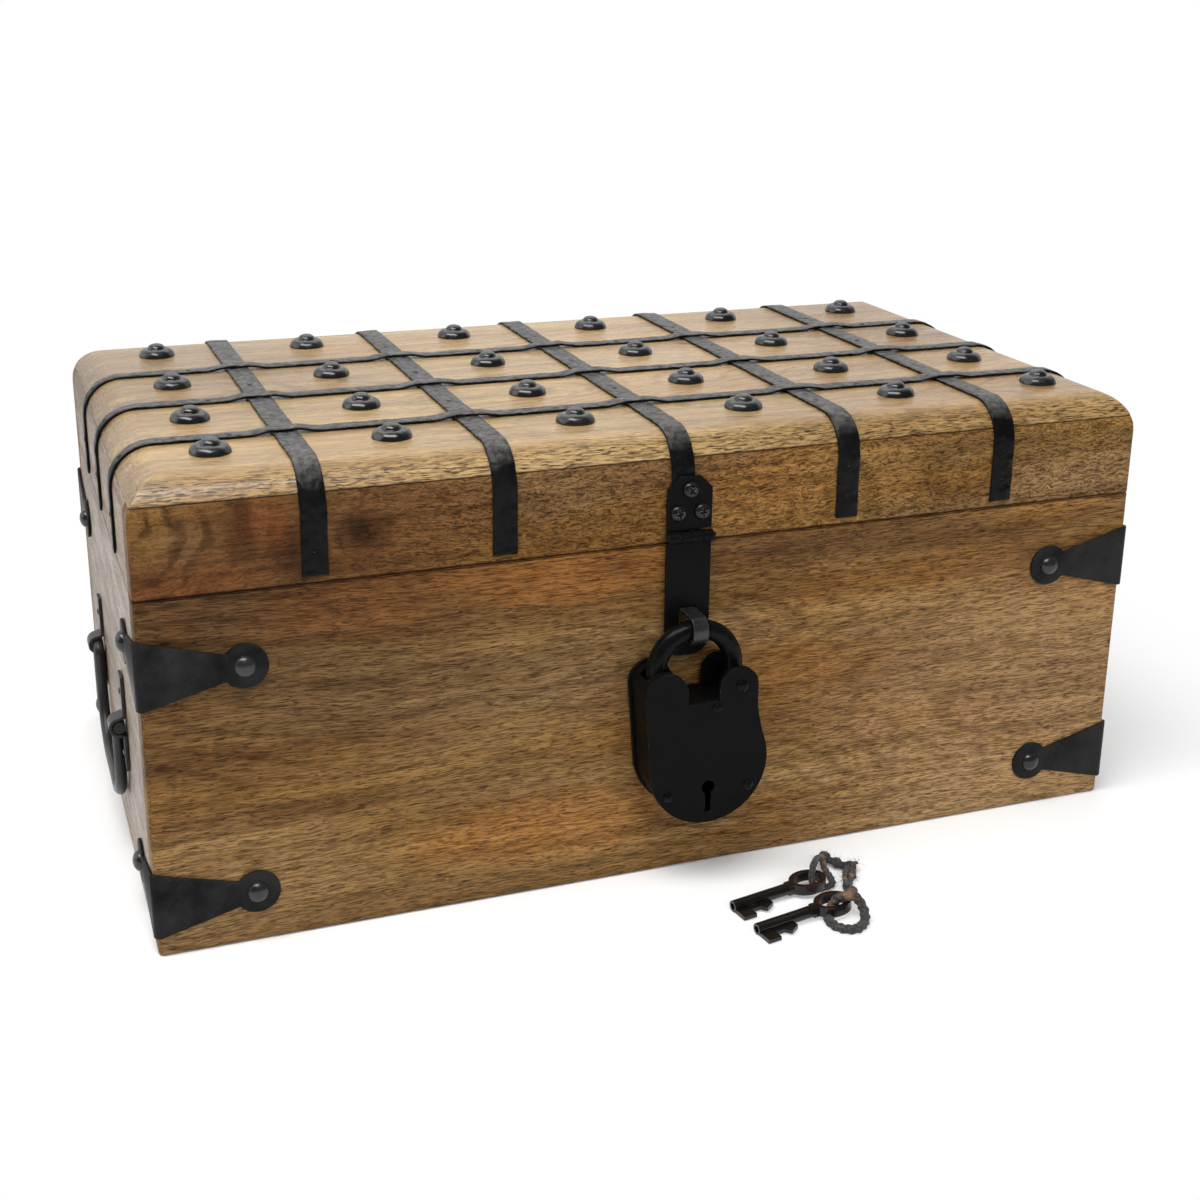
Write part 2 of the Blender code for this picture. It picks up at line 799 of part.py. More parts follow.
def screw_holes(centre_x):
    start = hasp_back - hasp_thickness - screw_head_height
    end = hasp_back - hasp_thickness + screw_length + fit_gap
    radius = screw_shank_radius + fit_gap
    return [
        rod("screw_hole", "Y", radius, start, end, (centre_x + x, 0.0, z), screw_sides)
        for x, z in screw_places()
    ]


def build_hasp(steel, lid_axis, hasp_axis):
    half = hasp_width / 2
    plate_outline = [
        (-half, 0.0), (half, 0.0),
        (half, hasp_plate_rise - hasp_corner_cut), (half - hasp_corner_cut, hasp_plate_rise),
        (-half + hasp_corner_cut, hasp_plate_rise), (-half, hasp_plate_rise - hasp_corner_cut),
    ]
    axis = (hasp_axis_y, hasp_axis_z)
    plate = hinge_leaf("hasp_plate", plate_outline, hasp_width, hasp_thickness, hasp_barrel_radius,
                       hasp_pin_radius, hasp_knuckles, (0, 2), axis, hasp_back, -1)
    plate = cut(plate, *screw_holes(0.0))
    add_lock_piece("hasp_plate", plate, steel, lid_axis)

    arm_outline = [(half, 0.0), (-half, 0.0)]
    round_x = half - hasp_end_radius
    round_low = hasp_end_radius - hasp_arm_drop
    arm_outline += arc(-round_x, round_low, hasp_end_radius, pi, 1.5 * pi, hasp_end_steps)
    arm_outline += arc(round_x, round_low, hasp_end_radius, 1.5 * pi, 2 * pi, hasp_end_steps)
    arm = hinge_leaf("hasp_arm", arm_outline, hasp_width, hasp_thickness, hasp_barrel_radius,
                     hasp_pin_radius, hasp_knuckles, (1, 3), axis, hasp_back, -1)
    slot = block("staple_slot", (-hasp_slot_width / 2, hasp_back - hasp_thickness - cut_overrun, slot_low),
                 (hasp_slot_width / 2, hasp_back + cut_overrun, slot_high))
    add_lock_piece("hasp_arm", cut(arm, slot), steel, hasp_axis)

    pin = rod("hasp_pin", "X", hasp_pin_radius, -half, half + hasp_pin_stub, (0.0, *axis), screw_sides)
    add_lock_piece("hasp_pin", smooth(pin), steel, lid_axis)

    face = hasp_back - hasp_thickness - fit_gap
    profile = [
        (screw_shank_radius, -screw_length + fit_gap), (screw_shank_radius, 0.0), (screw_head_radius, 0.0),
        (screw_head_radius, screw_head_height / 2), (screw_head_radius / 2, screw_head_height),
    ]
    for number, (x, z) in enumerate(screw_places(), start=1):
        screw = moved(turned(f"hasp_screw_{number}", profile, screw_sides, "-Y"), (x, face, z))
        add_lock_piece(f"hasp_screw_{number}", smooth(screw), steel, lid_axis)


def build_staple(steel):
    """The band's inner face follows the path, so its thickness lies outside the eye."""
    front = front_face - staple_reach + staple_thickness
    inside = front_face + board_thickness + fit_gap + staple_thickness
    low, high, radius = staple_low, staple_high, staple_corner_radius
    path = [(inside, high + staple_clinch), (inside, high)]
    path += arc(front + radius, high - radius, radius, pi / 2, pi, staple_bend_steps)
    path += arc(front + radius, low + radius, radius, pi, 1.5 * pi, staple_bend_steps)
    path += [(inside, low), (inside, low - staple_clinch)]
    section = [(-staple_thickness, -staple_width / 2), (0.0, -staple_width / 2),
               (0.0, staple_width / 2), (-staple_thickness, staple_width / 2)]
    add_lock_piece("staple", sweep("staple", "YZ", path, section), steel)


def build_shackle(steel, parent):
    arch_z = shackle_top_height - shackle_half_span
    path = [(pivot_x, ear_line_height), (pivot_x, arch_z)]
    path += arc(0.0, arch_z, shackle_half_span, 0.0, pi, shackle_steps)[1:]
    path.append((left_leg_x, ear_line_height - shackle_shoulder_drop))
    bar = sweep("padlock_shackle", "XZ", path, round_section(shackle_bar_radius, shackle_sides), shackle_y)
    half_eye = shackle_eye_thickness / 2
    eye = rod("eye", "Y", shackle_eye_radius, shackle_y - half_eye, shackle_y + half_eye,
              (pivot_x, 0.0, ear_line_height), screw_sides)
    nose_place = (nose_x, shackle_y, 0.0)
    nose = rod("nose", "Z", shackle_nose_radius, nose_end, ear_line_height, nose_place, shackle_sides)
    hole = rod("eye_hole", "Y", pivot_rivet_radius + fit_gap, shackle_y - 2 * shackle_bar_radius,
               shackle_y + 2 * shackle_bar_radius, (pivot_x, 0.0, ear_line_height), screw_sides)
    notch_reach = 2 * shackle_nose_radius
    notch_low = (nose_x, shackle_y - notch_reach, bolt_bottom - bolt_depth_play)
    notch_high = (nose_x + notch_reach, shackle_y + notch_reach, bolt_top + bolt_depth_play)
    notch = block("notch", notch_low, notch_high)
    shackle = combine(bar, [("UNION", eye), ("UNION", nose), ("DIFFERENCE", hole), ("DIFFERENCE", notch)])
    add_lock_piece("padlock_shackle", smooth(shackle), steel, parent)


def case_outline(inset, sill, with_right_ear):
    """The padlock's front view: two ears over a round body, drawn in by the inset, as (x, z) points."""
    left_radius = case_left_ear_radius - inset
    right_radius = case_right_ear_radius - inset
    round_radius = case_round_radius - inset
    right_side = right_ear_x + right_radius
    outline = [(left_ear_x + left_radius, sill)]
    if with_right_ear:
        outline.append((right_ear_x - right_radius, sill))
        outline += arc(right_ear_x, ear_line_height, right_radius, pi, 0.0, case_ear_steps)
    else:
        outline.append((right_side, sill))
    flank_start = (right_side, min(ear_line_height - case_flank_drop, sill - inset))
    flank_control = (right_side, ear_line_height - case_flank_control_drop)
    body = arc(case_round_shift, round_z, round_radius, case_flank_angle, -pi, case_round_steps)
    outline.append(flank_start)
    outline += bend(flank_start, flank_control, body[0], case_flank_steps)
    outline += body
    outline += arc(left_ear_x, ear_line_height, left_radius, pi, 0.0, case_ear_steps)
    return outline


def case_rivets():
    """Name, x, z and shank radius of each rivet through the case."""
    low_z = round_z - low_rivet_drop
    return (
        ("padlock_pivot_rivet", pivot_x, ear_line_height, pivot_rivet_radius),
        ("padlock_guide_rivet", guide_rivet_x, guide_rivet_z, case_rivet_radius),
        ("padlock_left_rivet", case_round_shift - low_rivet_x, low_z, case_rivet_radius),
        ("padlock_right_rivet", case_round_shift + low_rivet_x, low_z, case_rivet_radius),
    )


def rivet_holes():
    start = case_front - case_rivet_head_height - cut_overrun
    end = case_back + cut_overrun
    return [rod("rivet_hole", "Y", radius + fit_gap, start, end, (x, 0.0, z), rivet_sides)
            for _, x, z, radius in case_rivets()]


def build_case(steel, parent, bolt_axis):
    plate_outline = case_outline(0.0, sill_height, True)
    front = prism("padlock_front_plate", "XZ", plate_outline, case_front, case_front + case_plate_thickness)
    keyhole_z = ear_line_height - keyhole_drop
    keyhole_place = (case_round_shift, 0.0, keyhole_z)
    hole_start = case_front - cut_overrun
    hole_end = case_front + case_plate_thickness + cut_overrun
    round_hole = rod("keyhole", "Y", keyhole_radius, hole_start, hole_end, keyhole_place, rivet_sides)
    half_slot = keyhole_slot_width / 2
    slot = block(
        "keyhole_slot",
        (case_round_shift - half_slot, hole_start, keyhole_z - keyhole_slot_length),
        (case_round_shift + half_slot, hole_end, keyhole_z),
    )
    front = cut(front, round_hole, slot, *rivet_holes())
    add_lock_piece("padlock_front_plate", smooth(front), steel, parent)

    back = prism("padlock_back_plate", "XZ", plate_outline, case_back - case_plate_thickness, case_back)
    pin_start = case_front + drill_pin_recess
    pin_end = case_back - case_plate_thickness / 2
    pin = rod("drill_pin", "Y", drill_pin_radius, pin_start, pin_end, keyhole_place, rivet_sides)
    back = combine(back, [("UNION", pin)] + [("DIFFERENCE", hole) for hole in rivet_holes()])
    add_lock_piece("padlock_back_plate", smooth(back), steel, parent)

    rim_start = case_front + case_plate_thickness + fit_gap
    rim_end = case_back - case_plate_thickness - fit_gap
    rim = ring_prism("padlock_rim", "XZ", case_outline(rim_inset, rim_sill_top, False),
                     case_outline(rim_inset + rim_wall, rim_sill_bottom, False), rim_start, rim_end)
    half_deep = shackle_bar_radius + fit_gap
    half_wide = half_deep + rim_mouth_slack
    mouth = block(
        "mouth",
        (left_leg_x - half_wide, shackle_y - half_deep, ear_line_height),
        (left_leg_x + half_wide, shackle_y + half_deep, ear_line_height + 2 * case_left_ear_radius),
    )
    rim = cut(rim, mouth, rivet_holes()[1])
    add_lock_piece("padlock_rim", smooth(rim), steel, parent)

    tail = case_thickness + fit_gap
    for name, x, z, radius in case_rivets():
        head = radius + case_rivet_head_radius - case_rivet_radius
        profile = [
            (head, -tail - case_rivet_tail_height), (head, -tail), (radius, -tail),
            (radius, fit_gap), (head, fit_gap),
            (radius, case_rivet_head_height), (0.0, case_rivet_head_height + fit_gap),
        ]
        rivet = moved(turned(name, profile, rivet_sides, "-Y"), (x, case_front, z))
        add_lock_piece(name, smooth(rivet), steel, parent)

    tip = nose_x + shackle_nose_radius + bolt_depth_play
    bolt = block("padlock_bolt", (tip, shackle_y - bolt_thickness / 2, bolt_bottom),
                 (tip + shackle_half_span + bolt_tail, shackle_y + bolt_thickness / 2, bolt_top))
    add_lock_piece("padlock_bolt", bolt, steel, bolt_axis)


def build_handle(end_name, side, iron, parent):
    """A bail whose out-turned ends lie in two saddle clips nailed to the end board."""
    pivot_out = half_length + fit_gap + clip_clearance + handle_bar_radius
    reach = handle_half_span - clip_width / 2 - clip_clearance - handle_bar_radius
    stub_end = handle_half_span + clip_width / 2 + clip_clearance
    low = handle_pivot_height - handle_drop
    small, large = handle_stub_bend, handle_bend_radius
    top = handle_pivot_height
    path = [(-stub_end, top)]
    path += arc(-reach - small, top - small, small, pi / 2, 0.0, handle_stub_steps)
    path += arc(-reach + large, low + large, large, pi, 1.5 * pi, handle_bend_steps)
    path += arc(reach - large, low + large, large, -pi / 2, 0.0, handle_bend_steps)
    path += arc(reach + small, top - small, small, pi, pi / 2, handle_stub_steps)
    path.append((stub_end, top))
    section = round_section(handle_bar_radius, handle_bar_sides)
    bail = sweep(f"{end_name}_bail", "YZ", path, section, side * pivot_out)
    add_object(f"{end_name}_bail", smooth(bail), iron, parent)

    wall = half_length + fit_gap
    hump = handle_bar_radius + clip_clearance
    flare = clip_fillet
    for where, y in (("front", -handle_half_span), ("back", handle_half_span)):
        name = f"{end_name}_clip_{where}"
        path = [(wall, top + hump + clip_upper_tab), (wall, top + hump + flare)]
        path += arc(wall + hump, top, hump, pi / 2, -pi / 2, clip_hump_steps)
        path += [(wall, top - hump - flare), (wall, top - hump - clip_lower_tab)]
        path = [(side * u, v) for u, v in path]
        section = [(side * off, over) for off, over in flat_section(clip_thickness, clip_width)]
        add_object(name, sweep(name, "XZ", path, section, y), iron)


def build_back_hinges(iron, parent):
    half = hinge_leaf_width / 2
    axis = (hinge_axis_y, hinge_axis_z)
    back_y = back_face + fit_gap
    for name, x in (("left", -hinge_place), ("right", hinge_place)):
        for leaf, direction, own in (("lid", 1, (1,)), ("base", -1, (0, 2))):
            height = direction * hinge_leaf_height
            outline = [(-half, 0.0), (half, 0.0), (half, height), (-half, height)]
            mesh = hinge_leaf(f"{name}_hinge_{leaf}_leaf", outline, hinge_leaf_width, hinge_leaf_thickness,
                              hinge_barrel_radius, hinge_pin_radius, hinge_knuckles, own, axis, back_y, 1)
            owner = parent if leaf == "lid" else None
            add_object(f"{name}_hinge_{leaf}_leaf", moved(mesh, (x, 0.0, 0.0)), iron, owner)
        pin = rod(f"{name}_hinge_pin", "X", hinge_pin_radius, -half, half, (0.0, *axis), screw_sides)
        add_object(f"{name}_hinge_pin", smooth(moved(pin, (x, 0.0, 0.0))), iron)


def key_mesh(name):
    """A key along +X with its bow round the origin, lying flat, and its bit towards -Y."""
    bow_end = key_bow_long_radius
    barrel_end = -(key_length - bow_end)
    barrel_start = -bow_end + key_bow_wall / 2
    barrel = rod(name, "X", key_barrel_radius, barrel_end, barrel_start, (0.0, 0.0, 0.0), key_sides)
    turns = [2 * pi * i / key_bow_steps for i in range(key_bow_steps)]
    inner_long = key_bow_long_radius - key_bow_wall
    inner_cross = key_bow_cross_radius - key_bow_wall
    outer = [(key_bow_long_radius * cos(turn), key_bow_cross_radius * sin(turn)) for turn in turns]
    inner = [(inner_long * cos(turn), inner_cross * sin(turn)) for turn in turns]
    bow = ring_prism("bow", "XY", outer, inner, -key_bow_height / 2, key_bow_height / 2)
    neck = block("neck", (-bow_end - key_bow_wall, -key_neck_width / 2, -key_bow_height / 2),
                 (-bow_end + key_bow_wall / 2, key_neck_width / 2, key_bow_height / 2))
    low = -key_barrel_radius + fit_gap
    notch_start = barrel_end + (key_bit_length - key_bit_notch) / 2
    notch_end = notch_start + key_bit_notch
    bit_end = barrel_end + key_bit_length
    bit_outline = [
        (barrel_end + fit_gap, 0.0), (barrel_end + fit_gap, -key_bit_reach),
        (notch_start, -key_bit_reach), (notch_start, -key_bit_notch_reach), (notch_end, -key_bit_notch_reach),
        (notch_end + key_bit_notch / 2, -key_bit_reach * key_bit_corner_share),
        (bit_end, -key_bit_notch_reach), (bit_end, 0.0),
    ]
    bit = prism("bit", "XY", bit_outline, low, low + key_bit_thickness)
    bore = rod("bore", "X", key_bore_radius, barrel_end - cut_overrun, barrel_end + key_bore_depth,
               (0.0, 0.0, 0.0), key_sides)
    return combine(barrel, [("UNION", bow), ("UNION", neck), ("UNION", bit), ("DIFFERENCE", bore)])


def build_keys(iron, parent):
    """Each key rests on its bit end, with its bow lifted by the twine that runs under it."""
    tilt = atan2(key_bow_lift, key_length - key_bow_long_radius)
    for name, place in (("key_1", key_one_bow), ("key_2", key_two_bow)):
        mesh = key_mesh(name)
        mesh.transform(Matrix.Rotation(-tilt, 4, "Y"))
        mesh.transform(Matrix.Rotation(key_turn, 4, "Z"))
        lift = -min(vertex.co.z for vertex in mesh.vertices)
        mesh.transform(Matrix.Translation((*place, lift)))
        add_object(name, smooth(mesh), iron, parent)


def smooth_course(points):
    """More points along a line through the given ones."""
    given = [Vector(point) for point in points]
    course = []
    for i in range(len(given) - 1):
        before = given[max(i - 1, 0)]
        first, second = given[i], given[i + 1]
        after = given[min(i + 2, len(given) - 1)]
        for step in range(twine_smoothing):
            t = step / twine_smoothing
            course.append(
                ((-before + 3 * first - 3 * second + after) * t ** 3
                 + (2 * before - 5 * first + 4 * second - after) * t ** 2
                 + (second - before) * t) / 2 + first
            )
    return course + [given[-1]]


def strand(name, points):
    """A round tube along a course in space."""
    course = smooth_course(points)
    loops = []
    side = Vector((0.0, 0.0, 1.0)).cross(course[1] - course[0]).normalized()
    for i, place in enumerate(course):
        along = (course[min(i + 1, len(course) - 1)] - course[max(i - 1, 0)]).normalized()
        side = (side - side.dot(along) * along).normalized()
        up = along.cross(side)
        loops.append([place + side * u + up * v for u, v in round_section(twine_radius, twine_sides)])
    return loft(name, loops)


def build_twine(cord, parent):
    steps = [("UNION", strand("twine", twine_first_loop))]
    steps += [("UNION", strand("twine", end)) for end in twine_ends]
    for *place, radius in twine_knots:
        turns = [pi * i / knot_rings for i in range(1, knot_rings)]
        profile = [(0.0, -radius)]
        profile += [(radius * sin(turn), -radius * cos(turn)) for turn in turns]
        profile.append((0.0, radius))
        steps.append(("UNION", moved(turned("knot", profile, twine_sides + 2), place)))
    twine = combine(strand("key_twine", twine_second_loop), steps, crosses_itself=True)
    add_object("key_twine", smooth(twine), cord, parent)


def main():
    clear_scene()
    wood = make_material("mango_wood", (0.42, 0.26, 0.12), 0.55, 0.0)
    top_wood = make_material("mango_wood_top", (0.52, 0.34, 0.18), 0.5, 0.0)
    inside_wood = make_material("plain_wood", (0.5, 0.36, 0.22), 0.65, 0.0)
    strap_iron = make_material("hammered_iron", (0.07, 0.075, 0.085), 0.42, 0.85)
    black_iron = make_material("black_iron", (0.018, 0.02, 0.022), 0.5, 0.6)
    black_steel = make_material("black_steel", (0.014, 0.015, 0.017), 0.38, 0.7)
    cord = make_material("twine", (0.2, 0.17, 0.14), 0.95, 0.0)

    lid_axis = add_axis("lid_axis", (0.0, hinge_axis_y, hinge_axis_z))
    hasp_axis = add_axis("hasp_axis", (hasp_centre_x, hasp_axis_y, hasp_axis_z))
    hang_axis = add_axis("padlock_hang_axis", (hasp_centre_x, shackle_y, shackle_top_height))
    case_axis = add_axis("padlock_pivot_axis", (hasp_centre_x + pivot_x, shackle_y, ear_line_height))
    bolt_axis = add_axis("padlock_bolt_axis", (hasp_centre_x + nose_x, shackle_y, bolt_top))
    keys_axis = add_axis("keys_lift_axis", (*key_one_bow, 0.0))
    pivot_out = half_length + fit_gap + clip_clearance + handle_bar_radius
    left_axis = add_axis("left_handle_axis", (-pivot_out, 0.0, handle_pivot_height))
    right_axis = add_axis("right_handle_axis", (pivot_out, 0.0, handle_pivot_height))

    build_base(wood, inside_wood)
    build_lid(wood, top_wood, lid_axis)
    build_straps(strap_iron, lid_axis)
    build_brackets(black_iron)
    build_back_hinges(black_iron, lid_axis)
    build_hasp(black_steel, lid_axis, hasp_axis)
    build_staple(black_steel)
    build_shackle(black_steel, hang_axis)
    build_case(black_steel, case_axis, bolt_axis)
    build_handle("left", -1, black_iron, left_axis)
    build_handle("right", 1, black_iron, right_axis)
    build_keys(black_iron, keys_axis)
    build_twine(cord, keys_axis)


main()
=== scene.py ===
import json
import random
import bmesh
import bpy
from math import asin, copysign, cos, pi, radians, sin
from mathutils import Matrix, Vector, noise

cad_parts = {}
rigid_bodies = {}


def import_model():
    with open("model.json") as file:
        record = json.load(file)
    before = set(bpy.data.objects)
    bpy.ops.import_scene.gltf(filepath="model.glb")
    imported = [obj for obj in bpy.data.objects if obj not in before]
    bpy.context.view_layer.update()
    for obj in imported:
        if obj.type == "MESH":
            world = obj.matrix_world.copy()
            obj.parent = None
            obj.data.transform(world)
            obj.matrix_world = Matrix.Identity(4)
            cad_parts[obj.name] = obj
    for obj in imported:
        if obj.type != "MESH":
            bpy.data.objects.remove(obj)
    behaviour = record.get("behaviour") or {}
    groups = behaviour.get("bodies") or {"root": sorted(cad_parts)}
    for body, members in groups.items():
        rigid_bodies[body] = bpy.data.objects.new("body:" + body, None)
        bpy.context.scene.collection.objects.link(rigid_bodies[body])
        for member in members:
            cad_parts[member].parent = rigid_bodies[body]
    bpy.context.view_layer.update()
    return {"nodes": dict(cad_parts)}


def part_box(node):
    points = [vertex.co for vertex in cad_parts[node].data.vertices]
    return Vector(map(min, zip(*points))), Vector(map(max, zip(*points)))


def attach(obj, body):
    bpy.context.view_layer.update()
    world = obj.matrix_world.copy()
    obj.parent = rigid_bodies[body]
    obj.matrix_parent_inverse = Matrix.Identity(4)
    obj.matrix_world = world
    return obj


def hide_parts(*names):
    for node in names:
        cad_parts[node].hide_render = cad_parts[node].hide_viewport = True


for old in list(bpy.data.objects):
    bpy.data.objects.remove(old, do_unlink=True)

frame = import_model()
nodes = frame["nodes"]
print("frame loaded:", len(nodes), "CAD nodes")

# camera: solved from the box's edges in a 1200 x 1200 picture
camera = {
    "place": (-0.28019, -0.775656, 0.395304), "yaw": 0.359, "pitch": 0.319, "roll": 0.011,
    "lens": 52.30, "shiftY": -0.0612, "sensorWidth": 36.0, "clipStart": 0.01,
}

lights = {
    # name: (place, aim, width, height, watts, seen in reflections)
    "keySoftbox": ((-0.42, -0.42, 1.28), (0.0, 0.0, 0.1), 1.2, 0.55, 19.5, True),
    "backSoftbox": ((0.10, 0.75, 1.25), (0.0, 0.0, 0.1), 1.4, 0.8, 4.5, True),
    "leftSoftbox": ((-1.35, 0.25, 0.75), (-0.1, 0.0, 0.1), 1.1, 1.1, 5.0, True),
    "frontFill": ((0.35, -1.75, 1.15), (0.0, -0.1, 0.08), 1.3, 0.9, 15.0, False),
}

backdrop = {
    "diffuse": 0.38, "floorColour": (0.82, 0.82, 0.82),
    "shadowStops": ((0.0, 1.0), (0.35, 0.75), (1.0, 0.0)), "shadowReach": 0.2, "frontFade": 1.7,
    "mirrorStops": ((0.42, 0.08), (0.72, 1.0)), "size": 3.0, "place": (0.0, 1.2, -0.0002),
}


def newObject(name, data):
    obj = bpy.data.objects.new(name, data)
    bpy.context.scene.collection.objects.link(obj)
    return obj


def makeCamera():
    yaw, pitch, roll = (camera[turn] for turn in ("yaw", "pitch", "roll"))
    forward = Vector((sin(yaw) * cos(pitch), cos(yaw) * cos(pitch), -sin(pitch)))
    right = forward.cross(Vector((0, 0, 1))).normalized()
    up = right.cross(forward)
    turnedRight = cos(roll) * right + sin(roll) * up
    turnedUp = cos(roll) * up - sin(roll) * right
    data = bpy.data.cameras.new("photoCamera")
    data.sensor_width = camera["sensorWidth"]
    data.lens = camera["lens"]
    data.shift_y = camera["shiftY"]
    data.clip_start = camera["clipStart"]
    obj = newObject("photoCamera", data)
    columns = (turnedRight, turnedUp, -forward)
    rows = [[*(column[i] for column in columns), camera["place"][i]] for i in range(3)]
    obj.matrix_world = Matrix(rows + [[0, 0, 0, 1]])
    bpy.context.scene.camera = obj


def makeLights():
    for name, (place, aim, width, height, watts, mirrored) in lights.items():
        data = bpy.data.lights.new(name, "AREA")
        data.shape = "RECTANGLE"
        data.size, data.size_y = width, height
        data.energy = watts
        obj = newObject(name, data)
        obj.visible_glossy = mirrored
        obj.location = place
        obj.rotation_mode = "QUATERNION"
        obj.rotation_quaternion = (Vector(aim) - Vector(place)).to_track_quat("-Z", "Y")


makeCamera()
makeLights()
print("camera and softboxes placed")


# node helpers: sockets are linked, other values are set, and a node joins the tree of its sockets
def addNode(kind, settings=None, tree=None, **inputs):
    sockets = [value for value in inputs.values() if isinstance(value, bpy.types.NodeSocket)]
    tree = tree or sockets[0].id_data
    made = tree.nodes.new("ShaderNode" + kind)
    for key, value in (settings or {}).items():
        setattr(made, key, value)
    for key, value in inputs.items():
        socket = made.inputs[int(key[1:])] if key[1:].isdigit() else made.inputs[key.replace("_", " ")]
        if value in sockets:
            tree.links.new(value, socket)
        else:
            socket.default_value = value
    return made


def mathNode(operation, first, second=0.5):
    return addNode("Math", {"operation": operation}, i0=first, i1=second).outputs[0]


def times(first, second):
    return mathNode("MULTIPLY", first, second)


def vectorNode(operation, first, second=(0, 0, 0)):
    made = addNode("VectorMath", {"operation": operation}, i0=first, i1=second)
    return made.outputs["Value" if operation == "LENGTH" else "Vector"]


def heightOf(vector):
    return addNode("SeparateXYZ", Vector=vector).outputs[2]


def ramp(factor, *stops):
    made = addNode("ValToRGB", Fac=factor)
    elements = made.color_ramp.elements
    while len(elements) < len(stops):
        elements.new(0.5)
    for element, (position, colour) in zip(elements, stops):
        element.position = position
        element.color = (*colour, 1) if isinstance(colour, tuple) else (colour, colour, colour, 1)
    return made.outputs[0]


def mixColour(factor, first, second, blend="MIX"):
    first, second = [(*c, 1) if isinstance(c, tuple) else c for c in (first, second)]
    made = addNode("Mix", {"data_type": "RGBA", "blend_type": blend}, i0=factor, i6=first, i7=second)
    return made.outputs[2]


def noiseNode(vector, scale, detail=2.0, roughness=0.5, output=0):
    made = addNode("TexNoise", Vector=vector, Scale=scale, Detail=detail, Roughness=roughness)
    return made.outputs[output]


def newMaterial(name, **constants):
    material = bpy.data.materials.new(name)
    material.use_nodes = True
    tree = material.node_tree
    shader = tree.nodes["Principled BSDF"]
    for key, value in constants.items():
        shader.inputs[key.replace("_", " ")].default_value = value
    return material, tree, shader


def bumpInto(shader, height, strength, distance):
    made = addNode("Bump", Height=height, Strength=strength, Distance=distance)
    shader.id_data.links.new(made.outputs[0], shader.inputs["Normal"])


# mango wood: broad tones, figure and streaks, then fine dark lines, strokes and pores along the grain
woodFinish = {
    "tonePlaces": (0.3, 0.44, 0.56, 0.72),
    "tones": ((0.125, 0.058, 0.018), (0.215, 0.113, 0.036), (0.3, 0.172, 0.06), (0.4, 0.26, 0.115)),
    "orange": (0.38, 0.165, 0.04), "orangeShare": 0.5, "grey": (0.21, 0.14, 0.075), "greyShare": 0.45,
    # repeats per metre, along and across the grain
    "flowScale": (3.0, 9.0), "curlScale": (85.0, 45.0), "toneScale": (2.6, 30.0),
    "orangeScale": (5.0, 17.0), "greyScale": (4.0, 21.0), "figureScale": (1.9, 10.0),
    "shownScale": (6.0, 14.0), "streakScale": (7.0, 170.0), "lineScale": (95.0, 1600.0),
    "strokeScale": (110.0, 2000.0), "crowdScale": (9.0, 60.0), "poreScale": (200.0, 2400.0),
    "shineScale": (20.0, 90.0),
    # repeats per metre of what wanders without regard to the grain
    "patchScale": 38.0, "ringScale": 48.0, "brokenScale": 62.0, "raggedScale": 160.0,
    # how far the grain and the patches drift, in metres, and the rings in ring spacings
    "sway": 0.016, "curl": 0.0016, "patchDrift": 0.013, "ringDrift": 2.4,
    # the share of the colour that each mark takes away
    "figureTurns": 46.0, "figureDepth": 0.26, "streakDepth": 0.34, "lineDepth": 0.46,
    "strokeDepth": 0.3, "poreDepth": 0.6,
    "markFace": None,  # share of lines and pores on level faces and on the others
    "calm": None, "patches": (), "rings": (), "seams": (), "specular": 0.16, "roughness": (0.36, 0.56),
    "relief": 0.00022, "seed": 0.0,
}


